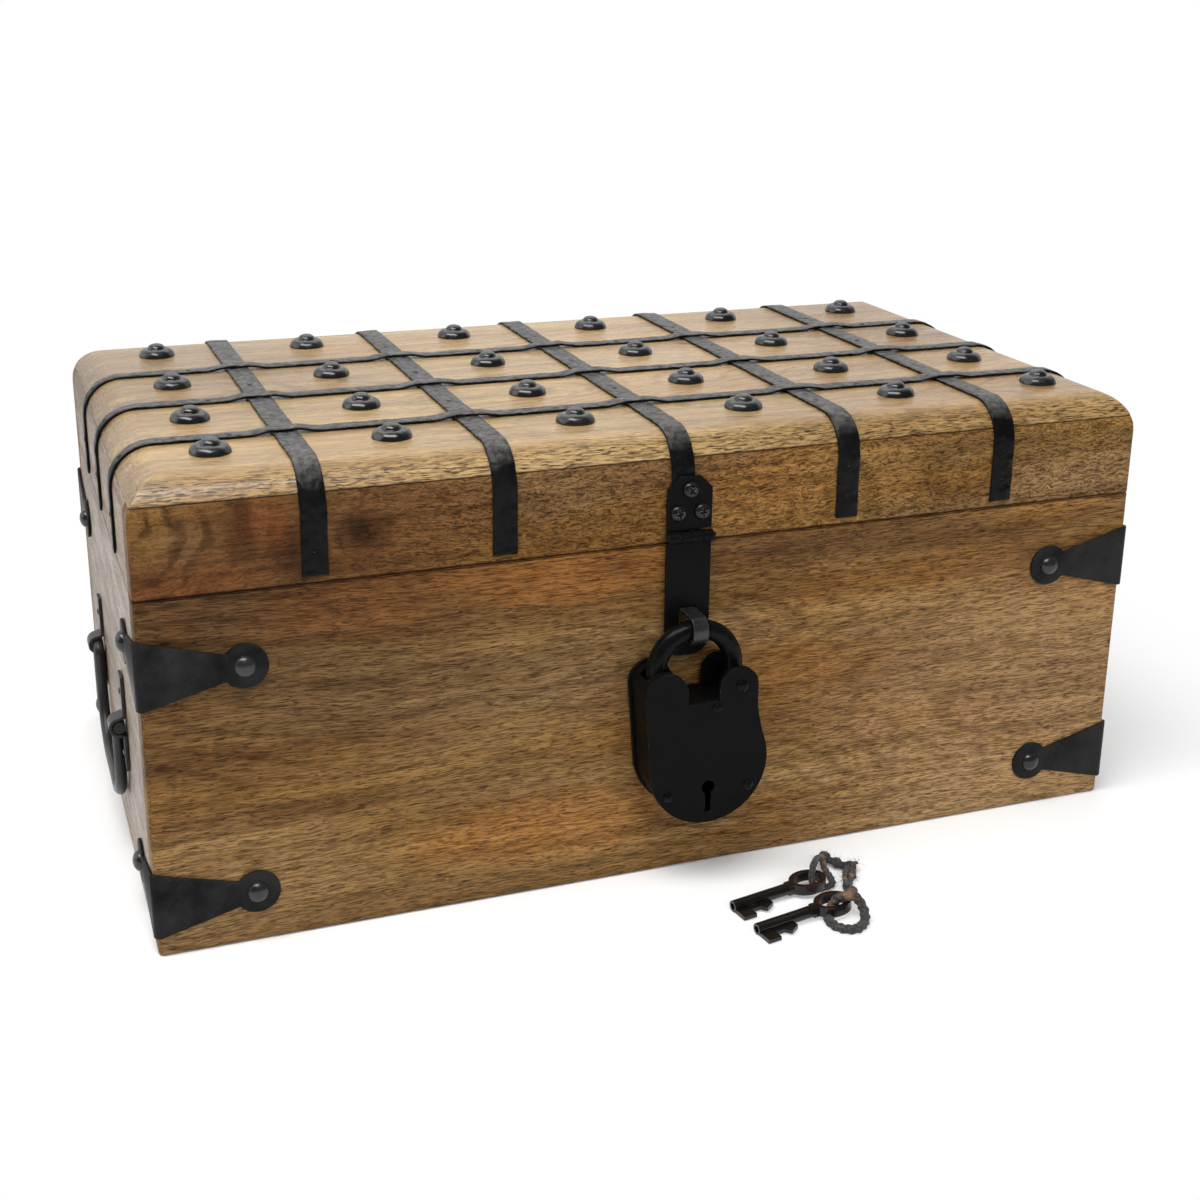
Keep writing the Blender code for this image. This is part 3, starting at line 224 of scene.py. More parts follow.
def woodMaterial(name, along, **changes):
    look = {**woodFinish, **changes}
    material, tree, shader = newMaterial(name, IOR=1.5, Specular_IOR_Level=look["specular"])
    origin = addNode("TexCoord", tree=tree).outputs["Object"]
    upward = heightOf(addNode("NewGeometry", tree=tree).outputs["Normal"])
    seed = look["seed"]
    place = vectorNode("ADD", origin, (seed, seed * 0.7, seed * 1.3))

    def grain(vector, scale, detail=2.0, roughness=0.5, output=0):
        low, high = look[scale]
        stretch = tuple(low if axis == along else high for axis in "XYZ")
        vector = vectorNode("MULTIPLY", vector, stretch)
        return noiseNode(vector, 1.0, detail, roughness, output)

    def swayed(vector, drift, amount):
        drift = vectorNode("SUBTRACT", drift, (0.5, 0.5, 0.5))
        drift = vectorNode("MULTIPLY", drift, (amount, amount, amount))
        return vectorNode("ADD", vector, drift)

    def darken(colour, mask, depth):
        deep = tuple(max(1.0 - depth * warm, 0.02) for warm in (0.97, 1.03, 1.07))
        return mixColour(1.0, colour, ramp(mask, (0.0, 1.0), (1.0, deep)), "MULTIPLY")

    flow = swayed(place, grain(place, "flowScale", output=1), look["sway"])
    curled = swayed(flow, grain(flow, "curlScale", output=1), look["curl"])
    bent = swayed(origin, noiseNode(origin, look["patchScale"], 3.0, output=1), look["patchDrift"])

    tones = zip(look["tonePlaces"], look["tones"])
    colour = ramp(grain(curled, "toneScale", 4.0, 0.6), *tones)
    warm = ramp(grain(flow, "orangeScale"), (0.5, 0.0), (0.66, 1.0))
    colour = mixColour(times(warm, look["orangeShare"]), colour, look["orange"])
    dull = ramp(grain(flow, "greyScale", 3.0), (0.36, 1.0), (0.5, 0.0))
    colour = mixColour(times(dull, look["greyShare"]), colour, look["grey"])

    def spotMask(centre, reach):
        away = vectorNode("DIVIDE", vectorNode("SUBTRACT", bent, centre), reach)
        return ramp(vectorNode("LENGTH", away), (0.0, 1.0), (0.55, 0.75), (1.0, 0.0))

    for centre, reach, share, patchColour in look["patches"]:
        colour = mixColour(times(spotMask(centre, reach), share), colour, patchColour)

    for centre, reach, spacing, depth in look["rings"]:
        away = vectorNode("LENGTH", vectorNode("SUBTRACT", bent, centre))
        uneven = mathNode("SUBTRACT", noiseNode(origin, look["ringScale"], 3.0), 0.5)
        away = mathNode("ADD", away, times(uneven, look["ringDrift"] * spacing))
        wave = mathNode("SINE", times(away, 2 * pi / spacing))
        fade = ramp(mathNode("DIVIDE", away, reach), (0.3, 1.0), (1.0, 0.0))
        broken = ramp(noiseNode(origin, look["brokenScale"], 3.0, 0.6), (0.4, 0.15), (0.6, 1.0))
        wave = ramp(wave, (0.0, 0.0), (1.0, 1.0))
        colour = darken(colour, times(wave, times(fade, broken)), depth)

    figure = times(grain(flow, "figureScale", 2.0, 0.35), 2 * pi * look["figureTurns"])
    figure = mathNode("SINE", figure)
    figure = ramp(figure, (0.35, 0.0), (1.0, 1.0))
    shown = ramp(grain(flow, "shownScale"), (0.4, 0.15), (0.6, 1.0))
    colour = darken(colour, times(figure, shown), look["figureDepth"])
    streaks = ramp(grain(curled, "streakScale", 4.0, 0.7), (0.36, 1.0), (0.6, 0.0))
    colour = darken(colour, streaks, look["streakDepth"])

    busy = 1.0
    if look["calm"]:
        centre, reach, share = look["calm"]
        busy = mathNode("SUBTRACT", 1.0, times(spotMask(centre, reach), share))
    facing = 1.0
    if look["markFace"]:
        level, other = look["markFace"]
        facing = ramp(upward, (0.75, other), (0.99, level))
    lines = ramp(grain(curled, "lineScale", 2.0, 0.6), (0.41, 1.0), (0.53, 0.0))
    colour = darken(colour, times(times(lines, busy), facing), look["lineDepth"])
    strokes = ramp(grain(curled, "strokeScale", 1.0, 0.6), (0.46, 0.0), (0.6, 1.0))
    crowd = ramp(grain(flow, "crowdScale"), (0.35, 0.55), (0.6, 1.0))
    strokes = times(times(strokes, crowd), busy)
    colour = darken(colour, strokes, look["strokeDepth"])
    pores = ramp(grain(curled, "poreScale", 1.0), (0.55, 0.0), (0.64, 1.0))
    pores = times(times(pores, busy), facing)
    colour = darken(colour, pores, look["poreDepth"])

    for height, reach, depth in look["seams"]:  # darker band along a joint, on upright faces
        ragged = noiseNode(origin, look["raggedScale"], 3.0)
        ragged = times(mathNode("SUBTRACT", ragged, 0.5), reach)
        gap = mathNode("ABSOLUTE", mathNode("SUBTRACT", heightOf(origin), height))
        gap = mathNode("DIVIDE", mathNode("ADD", gap, ragged), reach)
        upright = ramp(mathNode("ABSOLUTE", upward), (0.5, 1.0), (0.9, 0.1))
        colour = darken(colour, times(ramp(gap, (0.35, 1.0), (1.0, 0.0)), upright), depth)
    tree.links.new(colour, shader.inputs["Base Color"])

    low, high = look["roughness"]
    shine = ramp(grain(flow, "shineScale"), (0.3, low), (0.7, high))
    tree.links.new(shine, shader.inputs["Roughness"])
    hollow = mathNode("SUBTRACT", 1.0, mathNode("ADD", strokes, pores))
    bumpInto(shader, hollow, 0.5, look["relief"])
    return material


# joints of box and lid, darkened along them
boxSeam, lidSeam = 0.1555, 0.1559
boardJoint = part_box("lid_top_board")[0].z


def frontPatches(deep, *rows):  # each row: x, z, half width, half height in millimetres, share, colour
    patches = []
    for *sizes, share, colour in rows:
        x, z, wide, high = (size / 1000 for size in sizes)
        patches.append(((x, -0.128, z), (wide, deep, high), share, colour))
    return patches


woodFront = woodMaterial(
    "mangoWoodFront", "X", sway=0.02, specular=0.07, seams=((boxSeam, 0.0009, 0.8),),
    tones=((0.135, 0.061, 0.018), (0.228, 0.121, 0.037), (0.325, 0.19, 0.064), (0.45, 0.295, 0.128)),
    patches=[
        # painted shade: this broad dark patch darkens the upper left of the front, as if less lit
        *frontPatches(0.2, (-240, 160, 270, 85, 0.85, (0.1, 0.047, 0.015))),
        *frontPatches(
            0.1,
            (-140, 145, 50, 20, 0.55, (0.24, 0.092, 0.024)),
            (-200, 30, 80, 34, 0.65, (0.42, 0.265, 0.115)),
            (-60, 30, 80, 22, 0.6, (0.44, 0.185, 0.045)),
            (-50, 148, 70, 16, 0.6, (0.42, 0.17, 0.04)),
            (-30, 95, 50, 20, 0.4, (0.22, 0.15, 0.08)),
            # painted light: this broad pale patch lightens the lower right of the front, as if more lit
            (190, 50, 150, 90, 0.55, (0.5, 0.32, 0.165)),
            (90, 148, 100, 10, 0.5, (0.16, 0.09, 0.038)),
        ),
        *frontPatches(
            0.02,
            (-222.9, 85.2, 4, 2.2, 0.8, (0.06, 0.025, 0.01)),
            (226.2, 81.2, 1.8, 2, 0.8, (0.05, 0.02, 0.01)),
        ),
    ],
)
woodLidFront = woodMaterial(
    "mangoWoodLidFront", "X", seed=0.31, sway=0.04, curl=0.0036, curlScale=(180.0, 130.0),
    toneScale=(7.0, 32.0), lineScale=(150.0, 1250.0), lineDepth=0.55, strokeScale=(210.0, 1700.0),
    strokeDepth=0.32, poreScale=(300.0, 1900.0), orangeShare=0.3, specular=0.06,
    seams=((lidSeam, 0.0009, 0.8), (boardJoint, 0.0006, 0.7)),
    tones=((0.115, 0.048, 0.013), (0.205, 0.1, 0.026), (0.285, 0.155, 0.044), (0.39, 0.235, 0.08)),
    rings=(((-0.236, -0.1275, 0.187), 0.09, 0.0115, 0.6),
           ((-0.1359, -0.1275, 0.1748), 0.026, 0.0085, 0.38)),
    calm=((-0.205, -0.1275, 0.172), (0.11, 0.2, 0.08), 0.5),
    patches=frontPatches(
        0.1,
        (-190, 172, 130, 50, 0.8, (0.112, 0.044, 0.014)),
        (-166.2, 169, 15, 13, 0.75, (0.03, 0.012, 0.005)),
        (-135.9, 174.8, 15, 12, 0.85, (0.04, 0.015, 0.005)),
        (-135.9, 174.8, 7.8, 6.6, 0.95, (0.008, 0.004, 0.003)),
        (-207, 180, 13, 11, 0.45, (0.17, 0.105, 0.05)),
        (-221, 182, 14, 14, 0.4, (0.24, 0.135, 0.04)),
        (-186, 179, 9, 18, 0.6, (0.045, 0.018, 0.007)),
        (-176, 182, 12, 14, 0.5, (0.21, 0.065, 0.02)),
        (-213, 160, 50, 8, 0.5, (0.2, 0.07, 0.02)),
        (-100, 174, 50, 30, 0.35, (0.22, 0.1, 0.028)),
        (70, 172, 60, 20, 0.25, (0.3, 0.17, 0.055)),
        (160, 186, 130, 13, 0.4, (0.33, 0.22, 0.085)),
        (205, 168, 60, 14, 0.6, (0.41, 0.265, 0.125)),
    ),
)
woodTop = woodMaterial(
    "mangoWoodTop", "X", seed=0.62, sway=0.014, orangeShare=0.25, greyShare=0.2, specular=0.5,
    tones=((0.255, 0.152, 0.06), (0.345, 0.22, 0.09), (0.425, 0.29, 0.125), (0.52, 0.38, 0.185)),
    patches=(
        ((0.2, 0.0, 0.2), (0.2, 0.4, 0.1), 0.5, (0.31, 0.175, 0.06)),
        ((-0.21, 0.06, 0.2), (0.12, 0.13, 0.1), 0.5, (0.2, 0.12, 0.05)),
        ((0.02, 0.03, 0.2), (0.16, 0.1, 0.1), 0.55, (0.6, 0.42, 0.21)),
        ((0.0, -0.125, 0.195), (0.3, 0.03, 0.03), 0.25, (0.42, 0.27, 0.09)),
    ),
    seams=((boardJoint, 0.0006, 0.6),), markFace=(0.3, 1.0), roughness=(0.2, 0.34), relief=0.0001,
    streakDepth=0.3, strokeDepth=0.24, lineScale=(140.0, 1600.0), lineDepth=0.58,
    poreScale=(200.0, 1650.0), poreDepth=0.78,
)
# end boards: the wood's tone, paled and greyed by a painted reflection haze mixed in
endTonesWithPaintedHaze = ((0.22, 0.155, 0.098), (0.31, 0.235, 0.165), (0.39, 0.31, 0.23), (0.48, 0.4, 0.31))
woodEnd = woodMaterial(
    "mangoWoodEnd", "Y", seed=0.9, sway=0.012, orangeShare=0.2, specular=0.5, tones=endTonesWithPaintedHaze,
    seams=((boxSeam, 0.0009, 0.7),),
    # paler towards the bottom of the end boards
    patches=(((0.0, 0.0, 0.03), (0.5, 0.5, 0.06), 0.4, (0.52, 0.44, 0.35)),),
)
woodLidEnd = woodMaterial(
    "mangoWoodLidEnd", "Y", seed=1.4, sway=0.02, orangeShare=0.2, specular=0.5, tones=endTonesWithPaintedHaze,
    seams=((lidSeam, 0.0009, 0.7),),
)
woodBack = woodMaterial("mangoWoodBack", "X", seed=2.1, sway=0.018)
woodBottom = woodMaterial(
    "plainBottomWood", "X", seed=2.9, sway=0.01, orangeShare=0.1, tonePlaces=(0.3, 0.5, 0.7),
    tones=((0.22, 0.13, 0.06), (0.33, 0.21, 0.11), (0.4, 0.27, 0.15)),
)
print("wood finishes made")


# blackened iron and steel: dark base, cloudy sheen, hammered or scratched relief
ironFinish = {
    "base": (0.0075, 0.0076, 0.0078), "pale": (0.016, 0.0162, 0.0165), "roughness": (0.34, 0.48),
    "specular": 0.12, "cloudScale": 55.0, "speckScale": 900.0,
    "grain": 0.05, "relief": 0.0006,
    "hammer": 0.0, "hammerScale": 200.0, "driftScale": 200.0, "drift": 0.004,
    "dust": None, "dustScale": 330.0,
    "worn": None, "wornReach": 0.0004, "wornScale": 900.0, "wornPlaces": (0.4, 0.6),
}


def ironMaterial(name, **changes):
    look = {**ironFinish, **changes}
    material, tree, shader = newMaterial(name, IOR=1.5, Specular_IOR_Level=look["specular"])

    own = times(addNode("ObjectInfo", tree=tree).outputs["Random"], 3.0)  # differs from piece to piece
    place = vectorNode("ADD", addNode("TexCoord", tree=tree).outputs["Object"], own)
    normal = addNode("NewGeometry", tree=tree).outputs["Normal"]
    clouds = noiseNode(place, look["cloudScale"], 4.0, 0.6)
    specks = noiseNode(place, look["speckScale"])
    colour = mixColour(ramp(clouds, (0.35, 0.0), (0.7, 1.0)), look["base"], look["pale"])
    brighter = tuple(1.8 * part for part in look["pale"])
    colour = mixColour(ramp(specks, (0.62, 0.0), (0.75, 0.5)), colour, brighter)
    # upward faces lightened: dust, and a painted sheen standing for the grazing reflection of the bright
    # surround
    if look["dust"]:
        level = ramp(heightOf(normal), (0.55, 0.0), (0.95, 1.0))
        spread = ramp(noiseNode(place, look["dustScale"], 3.0, 0.7), (0.38, 0.3), (0.62, 1.0))
        colour = mixColour(times(level, spread), colour, look["dust"])
    # lighter edges in patches: real wear on the keys, and a painted highlight along the rims of the screws
    # and the staple
    if look["worn"]:
        rounded = addNode("Bevel", {"samples": 6}, tree, Radius=look["wornReach"]).outputs[0]
        turned = vectorNode("LENGTH", vectorNode("SUBTRACT", rounded, normal))
        low, high = look["wornPlaces"]
        rubbedAndGlinting = ramp(noiseNode(place, look["wornScale"]), (low, 0.0), (high, 1.0))
        edge = times(ramp(turned, (0.12, 0.0), (0.5, 1.0)), rubbedAndGlinting)
        colour = mixColour(edge, colour, look["worn"])
    tree.links.new(colour, shader.inputs["Base Color"])
    low, high = look["roughness"]
    tree.links.new(ramp(clouds, (0.3, low), (0.7, high)), shader.inputs["Roughness"])
    height = times(specks, look["grain"])
    if look["hammer"]:
        drift = noiseNode(place, look["driftScale"], 1.0, output=1)
        drift = vectorNode("MULTIPLY", drift, (look["drift"], look["drift"], look["drift"]))
        spot = vectorNode("ADD", place, drift)
        scale = look["hammerScale"]
        dents = addNode("TexVoronoi", {"feature": "SMOOTH_F1"}, Vector=spot, Scale=scale)
        height = mathNode("ADD", height, times(dents.outputs[0], look["hammer"]))
    bumpInto(shader, height, 0.6, look["relief"])
    return material


# strap tops: dust plus a painted sheen
strapIron = ironMaterial(
    "hammeredStrapIron", base=(0.003, 0.003, 0.0031), pale=(0.007, 0.007, 0.0072), hammer=2.5,
    hammerScale=260.0, roughness=(0.24, 0.38), specular=0.07, dust=(0.093, 0.09, 0.085),
)
studIron = ironMaterial(
    "glossyStudIron", base=(0.005, 0.0052, 0.0056), pale=(0.012, 0.0122, 0.0128),
    roughness=(0.2, 0.3), specular=0.6, grain=0.0,
)
bracketIron = ironMaterial(
    "cornerBracketIron", base=(0.0035, 0.0036, 0.0038), pale=(0.019, 0.0189, 0.0186), hammer=0.12,
    hammerScale=90.0, roughness=(0.4, 0.55), specular=0.08,
)
rivetIron = ironMaterial(
    "rivetHeadIron", hammer=0.15, hammerScale=300.0, roughness=(0.2, 0.32), specular=0.5,
)
lockSteel = ironMaterial(
    "blackLockSteel", base=(0.0025, 0.0025, 0.0026), pale=(0.004, 0.004, 0.0041), roughness=(0.34, 0.44),
    specular=0.055, grain=0.02, worn=(0.05, 0.05, 0.052), wornReach=0.0002, wornScale=260.0,
    wornPlaces=(0.45, 0.6),
)
shackleSteel = ironMaterial(
    "forgedShackleSteel", base=(0.0022, 0.0022, 0.0023), pale=(0.005, 0.005, 0.0052), hammer=0.35,
    hammerScale=300.0, roughness=(0.18, 0.3), specular=0.07,
)
# screw heads: the lighter rims are a painted highlight
screwSteel = ironMaterial(
    "blackenedScrewSteel", base=(0.004, 0.004, 0.004), pale=(0.009, 0.009, 0.009),
    roughness=(0.16, 0.26), specular=0.28, worn=(0.24, 0.24, 0.24), wornReach=0.0003,
)
# staple: the lighter band edges are a painted highlight
stapleSteel = ironMaterial(
    "wornStapleSteel", base=(0.009, 0.009, 0.009), pale=(0.022, 0.022, 0.023), hammer=0.12,
    roughness=(0.2, 0.32), specular=0.4, worn=(0.2, 0.2, 0.19), wornReach=0.0003,
)
handleIron = ironMaterial(
    "forgedHandleIron", hammer=0.2, hammerScale=220.0, roughness=(0.3, 0.45), specular=0.35,
)
keyIron = ironMaterial(
    "wornKeyIron", base=(0.0042, 0.004, 0.0039), pale=(0.008, 0.007, 0.0066), hammer=0.2,
    hammerScale=420.0, roughness=(0.13, 0.24), specular=0.4, worn=(0.13, 0.024, 0.012),
    wornScale=110.0, wornPlaces=(0.5, 0.58),
)
print("iron and steel finishes made")


def twineMaterial():
    material, tree, shader = newMaterial("hairyTwine", Roughness=0.92, Sheen_Weight=0.12)
    place = addNode("TexCoord", tree=tree).outputs["Object"]
    fibres = noiseNode(place, 900.0, 4.0, 0.7)
    faded = ramp(noiseNode(place, 130.0), (0.58, 0.0), (0.68, 0.7))
    dark, middle, light = (0.008, 0.0075, 0.007), (0.03, 0.028, 0.026), (0.11, 0.1, 0.088)
    colour = ramp(fibres, (0.3, dark), (0.52, middle), (0.72, light))
    colour = mixColour(faded, colour, (0.27, 0.135, 0.055))
    tree.links.new(colour, shader.inputs["Base Color"])
    bumpInto(shader, fibres, 0.8, 0.0004)
    return material


twineFinish = twineMaterial()


# a CAD node keeps its shape and gets eased edges, smooth shading and a finish
def easeEdges(obj, edge, angle=40.0):
    weld = obj.modifiers.new("weld", "WELD")
    weld.merge_threshold = 0.00002
    whole = obj.modifiers.new("wholeFaces", "DECIMATE")
    whole.decimate_type = "DISSOLVE"
    whole.angle_limit = radians(1.0)
    bevel = obj.modifiers.new("edgeEase", "BEVEL")
    bevel.width = edge
    bevel.segments = 2
    bevel.limit_method = "ANGLE"
    bevel.angle_limit = radians(angle)
    bevel.use_clamp_overlap = True
    shading = obj.modifiers.new("flatFaceShading", "WEIGHTED_NORMAL")
    shading.weight = 80


def dressNode(name, material, edge):
    piece = nodes[name]
    piece.data.materials.clear()
    piece.data.materials.append(material)
    piece.data.polygons.foreach_set("use_smooth", [True] * len(piece.data.polygons))
    easeEdges(piece, edge)


def addPiece(name, mesh, body, replaced=None, matrix=Matrix()):
    obj = newObject(name, mesh)
    obj.matrix_world = matrix
    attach(obj, body)
    if replaced:
        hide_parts(replaced)
    return obj


def middleOf(name):
    return [(low + high) / 2 for low, high in zip(*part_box(name))]


def meshFrom(name, shape, material=None):
    bmesh.ops.recalc_face_normals(shape, faces=shape.faces)
    mesh = bpy.data.meshes.new(name)
    shape.to_mesh(mesh)
    shape.free()
    mesh.shade_smooth()
    if material:
        mesh.materials.append(material)
    return mesh


def frozenMesh(obj, material):  # the mesh that the object's modifiers give
    bpy.context.view_layer.update()
    made = bpy.data.meshes.new_from_object(obj.evaluated_get(bpy.context.evaluated_depsgraph_get()))
    bpy.data.objects.remove(obj)
    made.materials.clear()
    made.materials.append(material)
    return made


def loftRings(shape, rings):
    rows = [[shape.verts.new(point) for point in ring] for ring in rings]
    count = len(rows[0])
    for low, high in zip(rows, rows[1:]):
        for i in range(count):
            j = (i + 1) % count
            shape.faces.new((low[i], low[j], high[j], high[i]))
    shape.faces.new(list(reversed(rows[0])))
    shape.faces.new(rows[-1])


# facets: how far each level of the profile is pressed in between its ridges
def turnedSolid(shape, profile, sides, matrix=Matrix(), wobble=0.0, facets=None):
    rings = []
    for level, (radius, height) in enumerate(profile):
        depth = facets[level] if facets else 0.0
        ring = []
        for i in range(sides):
            turn = 2 * pi * i / sides
            out = radius * (1 - depth + depth * sin(turn * stud["facets"] / 2) ** 2)
            spot = Vector((out * cos(turn), out * sin(turn), height))
            if wobble:
                spot += spot.normalized() * wobble * noise.noise(matrix @ spot * 260.0)
            ring.append(matrix @ spot)
        rings.append(ring)
    loftRings(shape, rings)


# wood boards carried over from the CAD
boards = {
    "front_board": woodFront, "back_board": woodBack, "bottom_board": woodBottom,
    "left_end_board": woodEnd, "right_end_board": woodEnd,
    "lid_front_rail": woodLidFront, "lid_back_rail": woodBack,
    "lid_left_rail": woodLidEnd, "lid_right_rail": woodLidEnd,
}
for name, finish in boards.items():
    dressNode(name, finish, 0.00035)

fittings = {
    "hasp_plate": lockSteel, "hasp_arm": lockSteel, "hasp_pin": screwSteel, "staple": stapleSteel,
    "padlock_front_plate": lockSteel, "padlock_back_plate": lockSteel, "padlock_rim": lockSteel,
    "padlock_bolt": stapleSteel, "padlock_shackle": shackleSteel, "key_1": keyIron, "key_2": keyIron,
}
for which in ("pivot", "guide", "left", "right"):
    fittings[f"padlock_{which}_rivet"] = shackleSteel
for end in ("left", "right"):
    fittings[f"{end}_bail"] = handleIron
    fittings[f"{end}_hinge_pin"] = screwSteel
    for where in ("front", "back"):
        fittings[f"{end}_clip_{where}"] = handleIron
    for leaf in ("lid", "base"):
        fittings[f"{end}_hinge_{leaf}_leaf"] = bracketIron
for name, finish in fittings.items():
    dressNode(name, finish, 0.0002)
print("boards and fittings dressed")


# lid top board: the CAD outline with a finer rounding
lidBoard = {"rounding": 0.017, "cornerEase": 0.0015, "steps": 16, "cornerSteps": 5}
frontLow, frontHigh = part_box("lid_front_rail")
crossLow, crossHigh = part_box("cross_strap_1")
cadPlate = 0.0014  # thickness of the CAD's straps, hinge leaves and handle clips
layGap = 0.0003  # between pieces that lie on each other
headSink = 0.0002  # how far rivets, nails and screws go into what they sit on
lidTop = crossHigh.z - cadPlate - layGap
halfLength, halfDepth = frontHigh.x, -frontLow.y


def roundedLidBoard():
    radius, ease = lidBoard["rounding"], lidBoard["cornerEase"]
    start = lidTop - radius
    lowTurn = asin((boardJoint - start) / radius)
    shape = bmesh.new()
    rings = []
    for step in range(lidBoard["steps"] + 1):
        turn = lowTurn + (pi / 2 - lowTurn) * step / lidBoard["steps"]
        inset = radius * (1 - cos(turn))
        ring = []
        for corner, (signX, signY) in enumerate(((-1, -1), (1, -1), (1, 1), (-1, 1))):
            for i in range(lidBoard["cornerSteps"] + 1):
                bend = pi * (1 + corner / 2) + pi / 2 * i / lidBoard["cornerSteps"]
                ring.append((
                    signX * (halfLength - inset - ease) + ease * cos(bend),
                    signY * (halfDepth - inset - ease) + ease * sin(bend),
                    start + radius * sin(turn),
                ))
        rings.append(ring)
    loftRings(shape, rings)
    return meshFrom("topBoard", shape, woodTop)


topBoard = addPiece("lidTopPlank", roundedLidBoard(), "lid", "lid_top_board")
easeEdges(topBoard, 0.0003, 50.0)

# studs: a wide pressed dome with eight soft facets, and a small cap set in its crown
stud = {
    "radius": 0.0085, "height": 0.0062, "sides": 64, "columns": 6, "pitch": 0.0772,
    "rows": (-0.092055, -0.037995, 0.02499, 0.091035),
    "shifts": ((0.0024, -0.0005, 0.0031, 0.0052, 0.005, 0.0042),
               (0.0018, -0.0009, -0.0009, 0.0005, -0.0002, -0.0027),
               (0.0024, -0.0008, -0.0007, -0.0004, -0.002, -0.002),
               (0.0033, 0.0006, 0.0009, -0.0004, -0.0011, -0.0042)),
    "tilt": 2.5, "spin": 6.28, "facet": 0.03, "facets": 8,
    # shares of the radius and of the height
    "dome": ((1.0, -0.04), (1.0, 0.08), (0.985, 0.2), (0.955, 0.31), (0.9, 0.42), (0.82, 0.51),
             (0.73, 0.575), (0.65, 0.61), (0.58, 0.615), (0.53, 0.6)),
    "cap": ((0.49, 0.6), (0.485, 0.67), (0.455, 0.76), (0.395, 0.85), (0.31, 0.925), (0.2, 0.97),
            (0.1, 0.992), (0.01, 1.0)),
}


def studMesh():
    shape = bmesh.new()
    profile = [(out * stud["radius"], up * stud["height"]) for out, up in stud["dome"] + stud["cap"]]
    facets = [stud["facet"] if 0.1 < up < 0.7 else 0.0 for _, up in stud["dome"]] + [0.0] * len(stud["cap"])
    turnedSolid(shape, profile, stud["sides"], facets=facets)
    return meshFrom("stud", shape, studIron)


shared = studMesh()
chance = random.Random(4)
lean = radians(stud["tilt"])
for column in range(stud["columns"]):
    for row, y in enumerate(stud["rows"]):
        obj = newObject(f"stud_{column + 1}_{row + 1}", shared)
        x = (column - (stud["columns"] - 1) / 2) * stud["pitch"] + stud["shifts"][row][column]
        tilts = chance.uniform(-lean, lean), chance.uniform(-lean, lean)
        obj.rotation_euler = (*tilts, chance.uniform(0, stud["spin"]))
        obj.location = (x, y, lidTop)
        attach(obj, "lid")
print("lid board and studs made")

# straps: forged flat bars, hammered on top, with nail heads
strap = {
    "thickness": 0.0011, "width": 0.0104, "longWidth": 0.0076, "ringStep": 0.0011, "bendSteps": 12,
    "edgeRound": 0.0003, "dent": 0.00025, "dentScale": 190.0, "waver": 0.0004, "joggleSide": 0.0008,
    "joggleRun": 0.008, "nailRadius": 0.0012, "nailRise": 0.00035, "nailSides": 12, "nailSet": 0.0001,
    # where the nails are, as shares of the strap's length
    "crossNails": (0.027, 0.068, 0.215, 0.36, 0.54, 0.72, 0.932, 0.973),
    "longNails": (0.03, 0.075, 0.16, 0.29, 0.43, 0.57, 0.71, 0.84, 0.925, 0.97),
}


def strapPath(halfSpan, low, crossings):
    radius, steps = lidBoard["rounding"], strap["bendSteps"]
    start = lidTop - radius
    path = [(-halfSpan - layGap, low)]
    for i in range(steps + 1):
        turn = pi - pi / 2 * i / steps
        across, up = (radius + layGap) * cos(turn), (radius + layGap) * sin(turn)
        path.append((-halfSpan + radius + across, start + up))
    bend = len(path)
    top = lidTop + layGap
    lift = top + strap["thickness"] + layGap
    half = strap["width"] / 2 + strap["joggleSide"]
    for place in crossings:
        path += [(place - half - strap["joggleRun"], top), (place - half, lift),
                 (place + half, lift), (place + half + strap["joggleRun"], top)]
    path += [(-u, z) for u, z in reversed(path[:bend])]
    return path


def evenSteps(path, step):
    dense = [Vector(path[0])]
    for first, second in zip(path, path[1:]):
        first, second = Vector(first), Vector(second)
        count = max(1, round((second - first).length / step))
        dense += [first.lerp(second, (i + 1) / count) for i in range(count)]
    for _ in range(2):  # soften the joggles and the bends
        inner = [(a + 2 * b + c) / 4 for a, b, c in zip(dense, dense[1:], dense[2:])]
        dense = [dense[0], *inner, dense[-1]]
    return dense


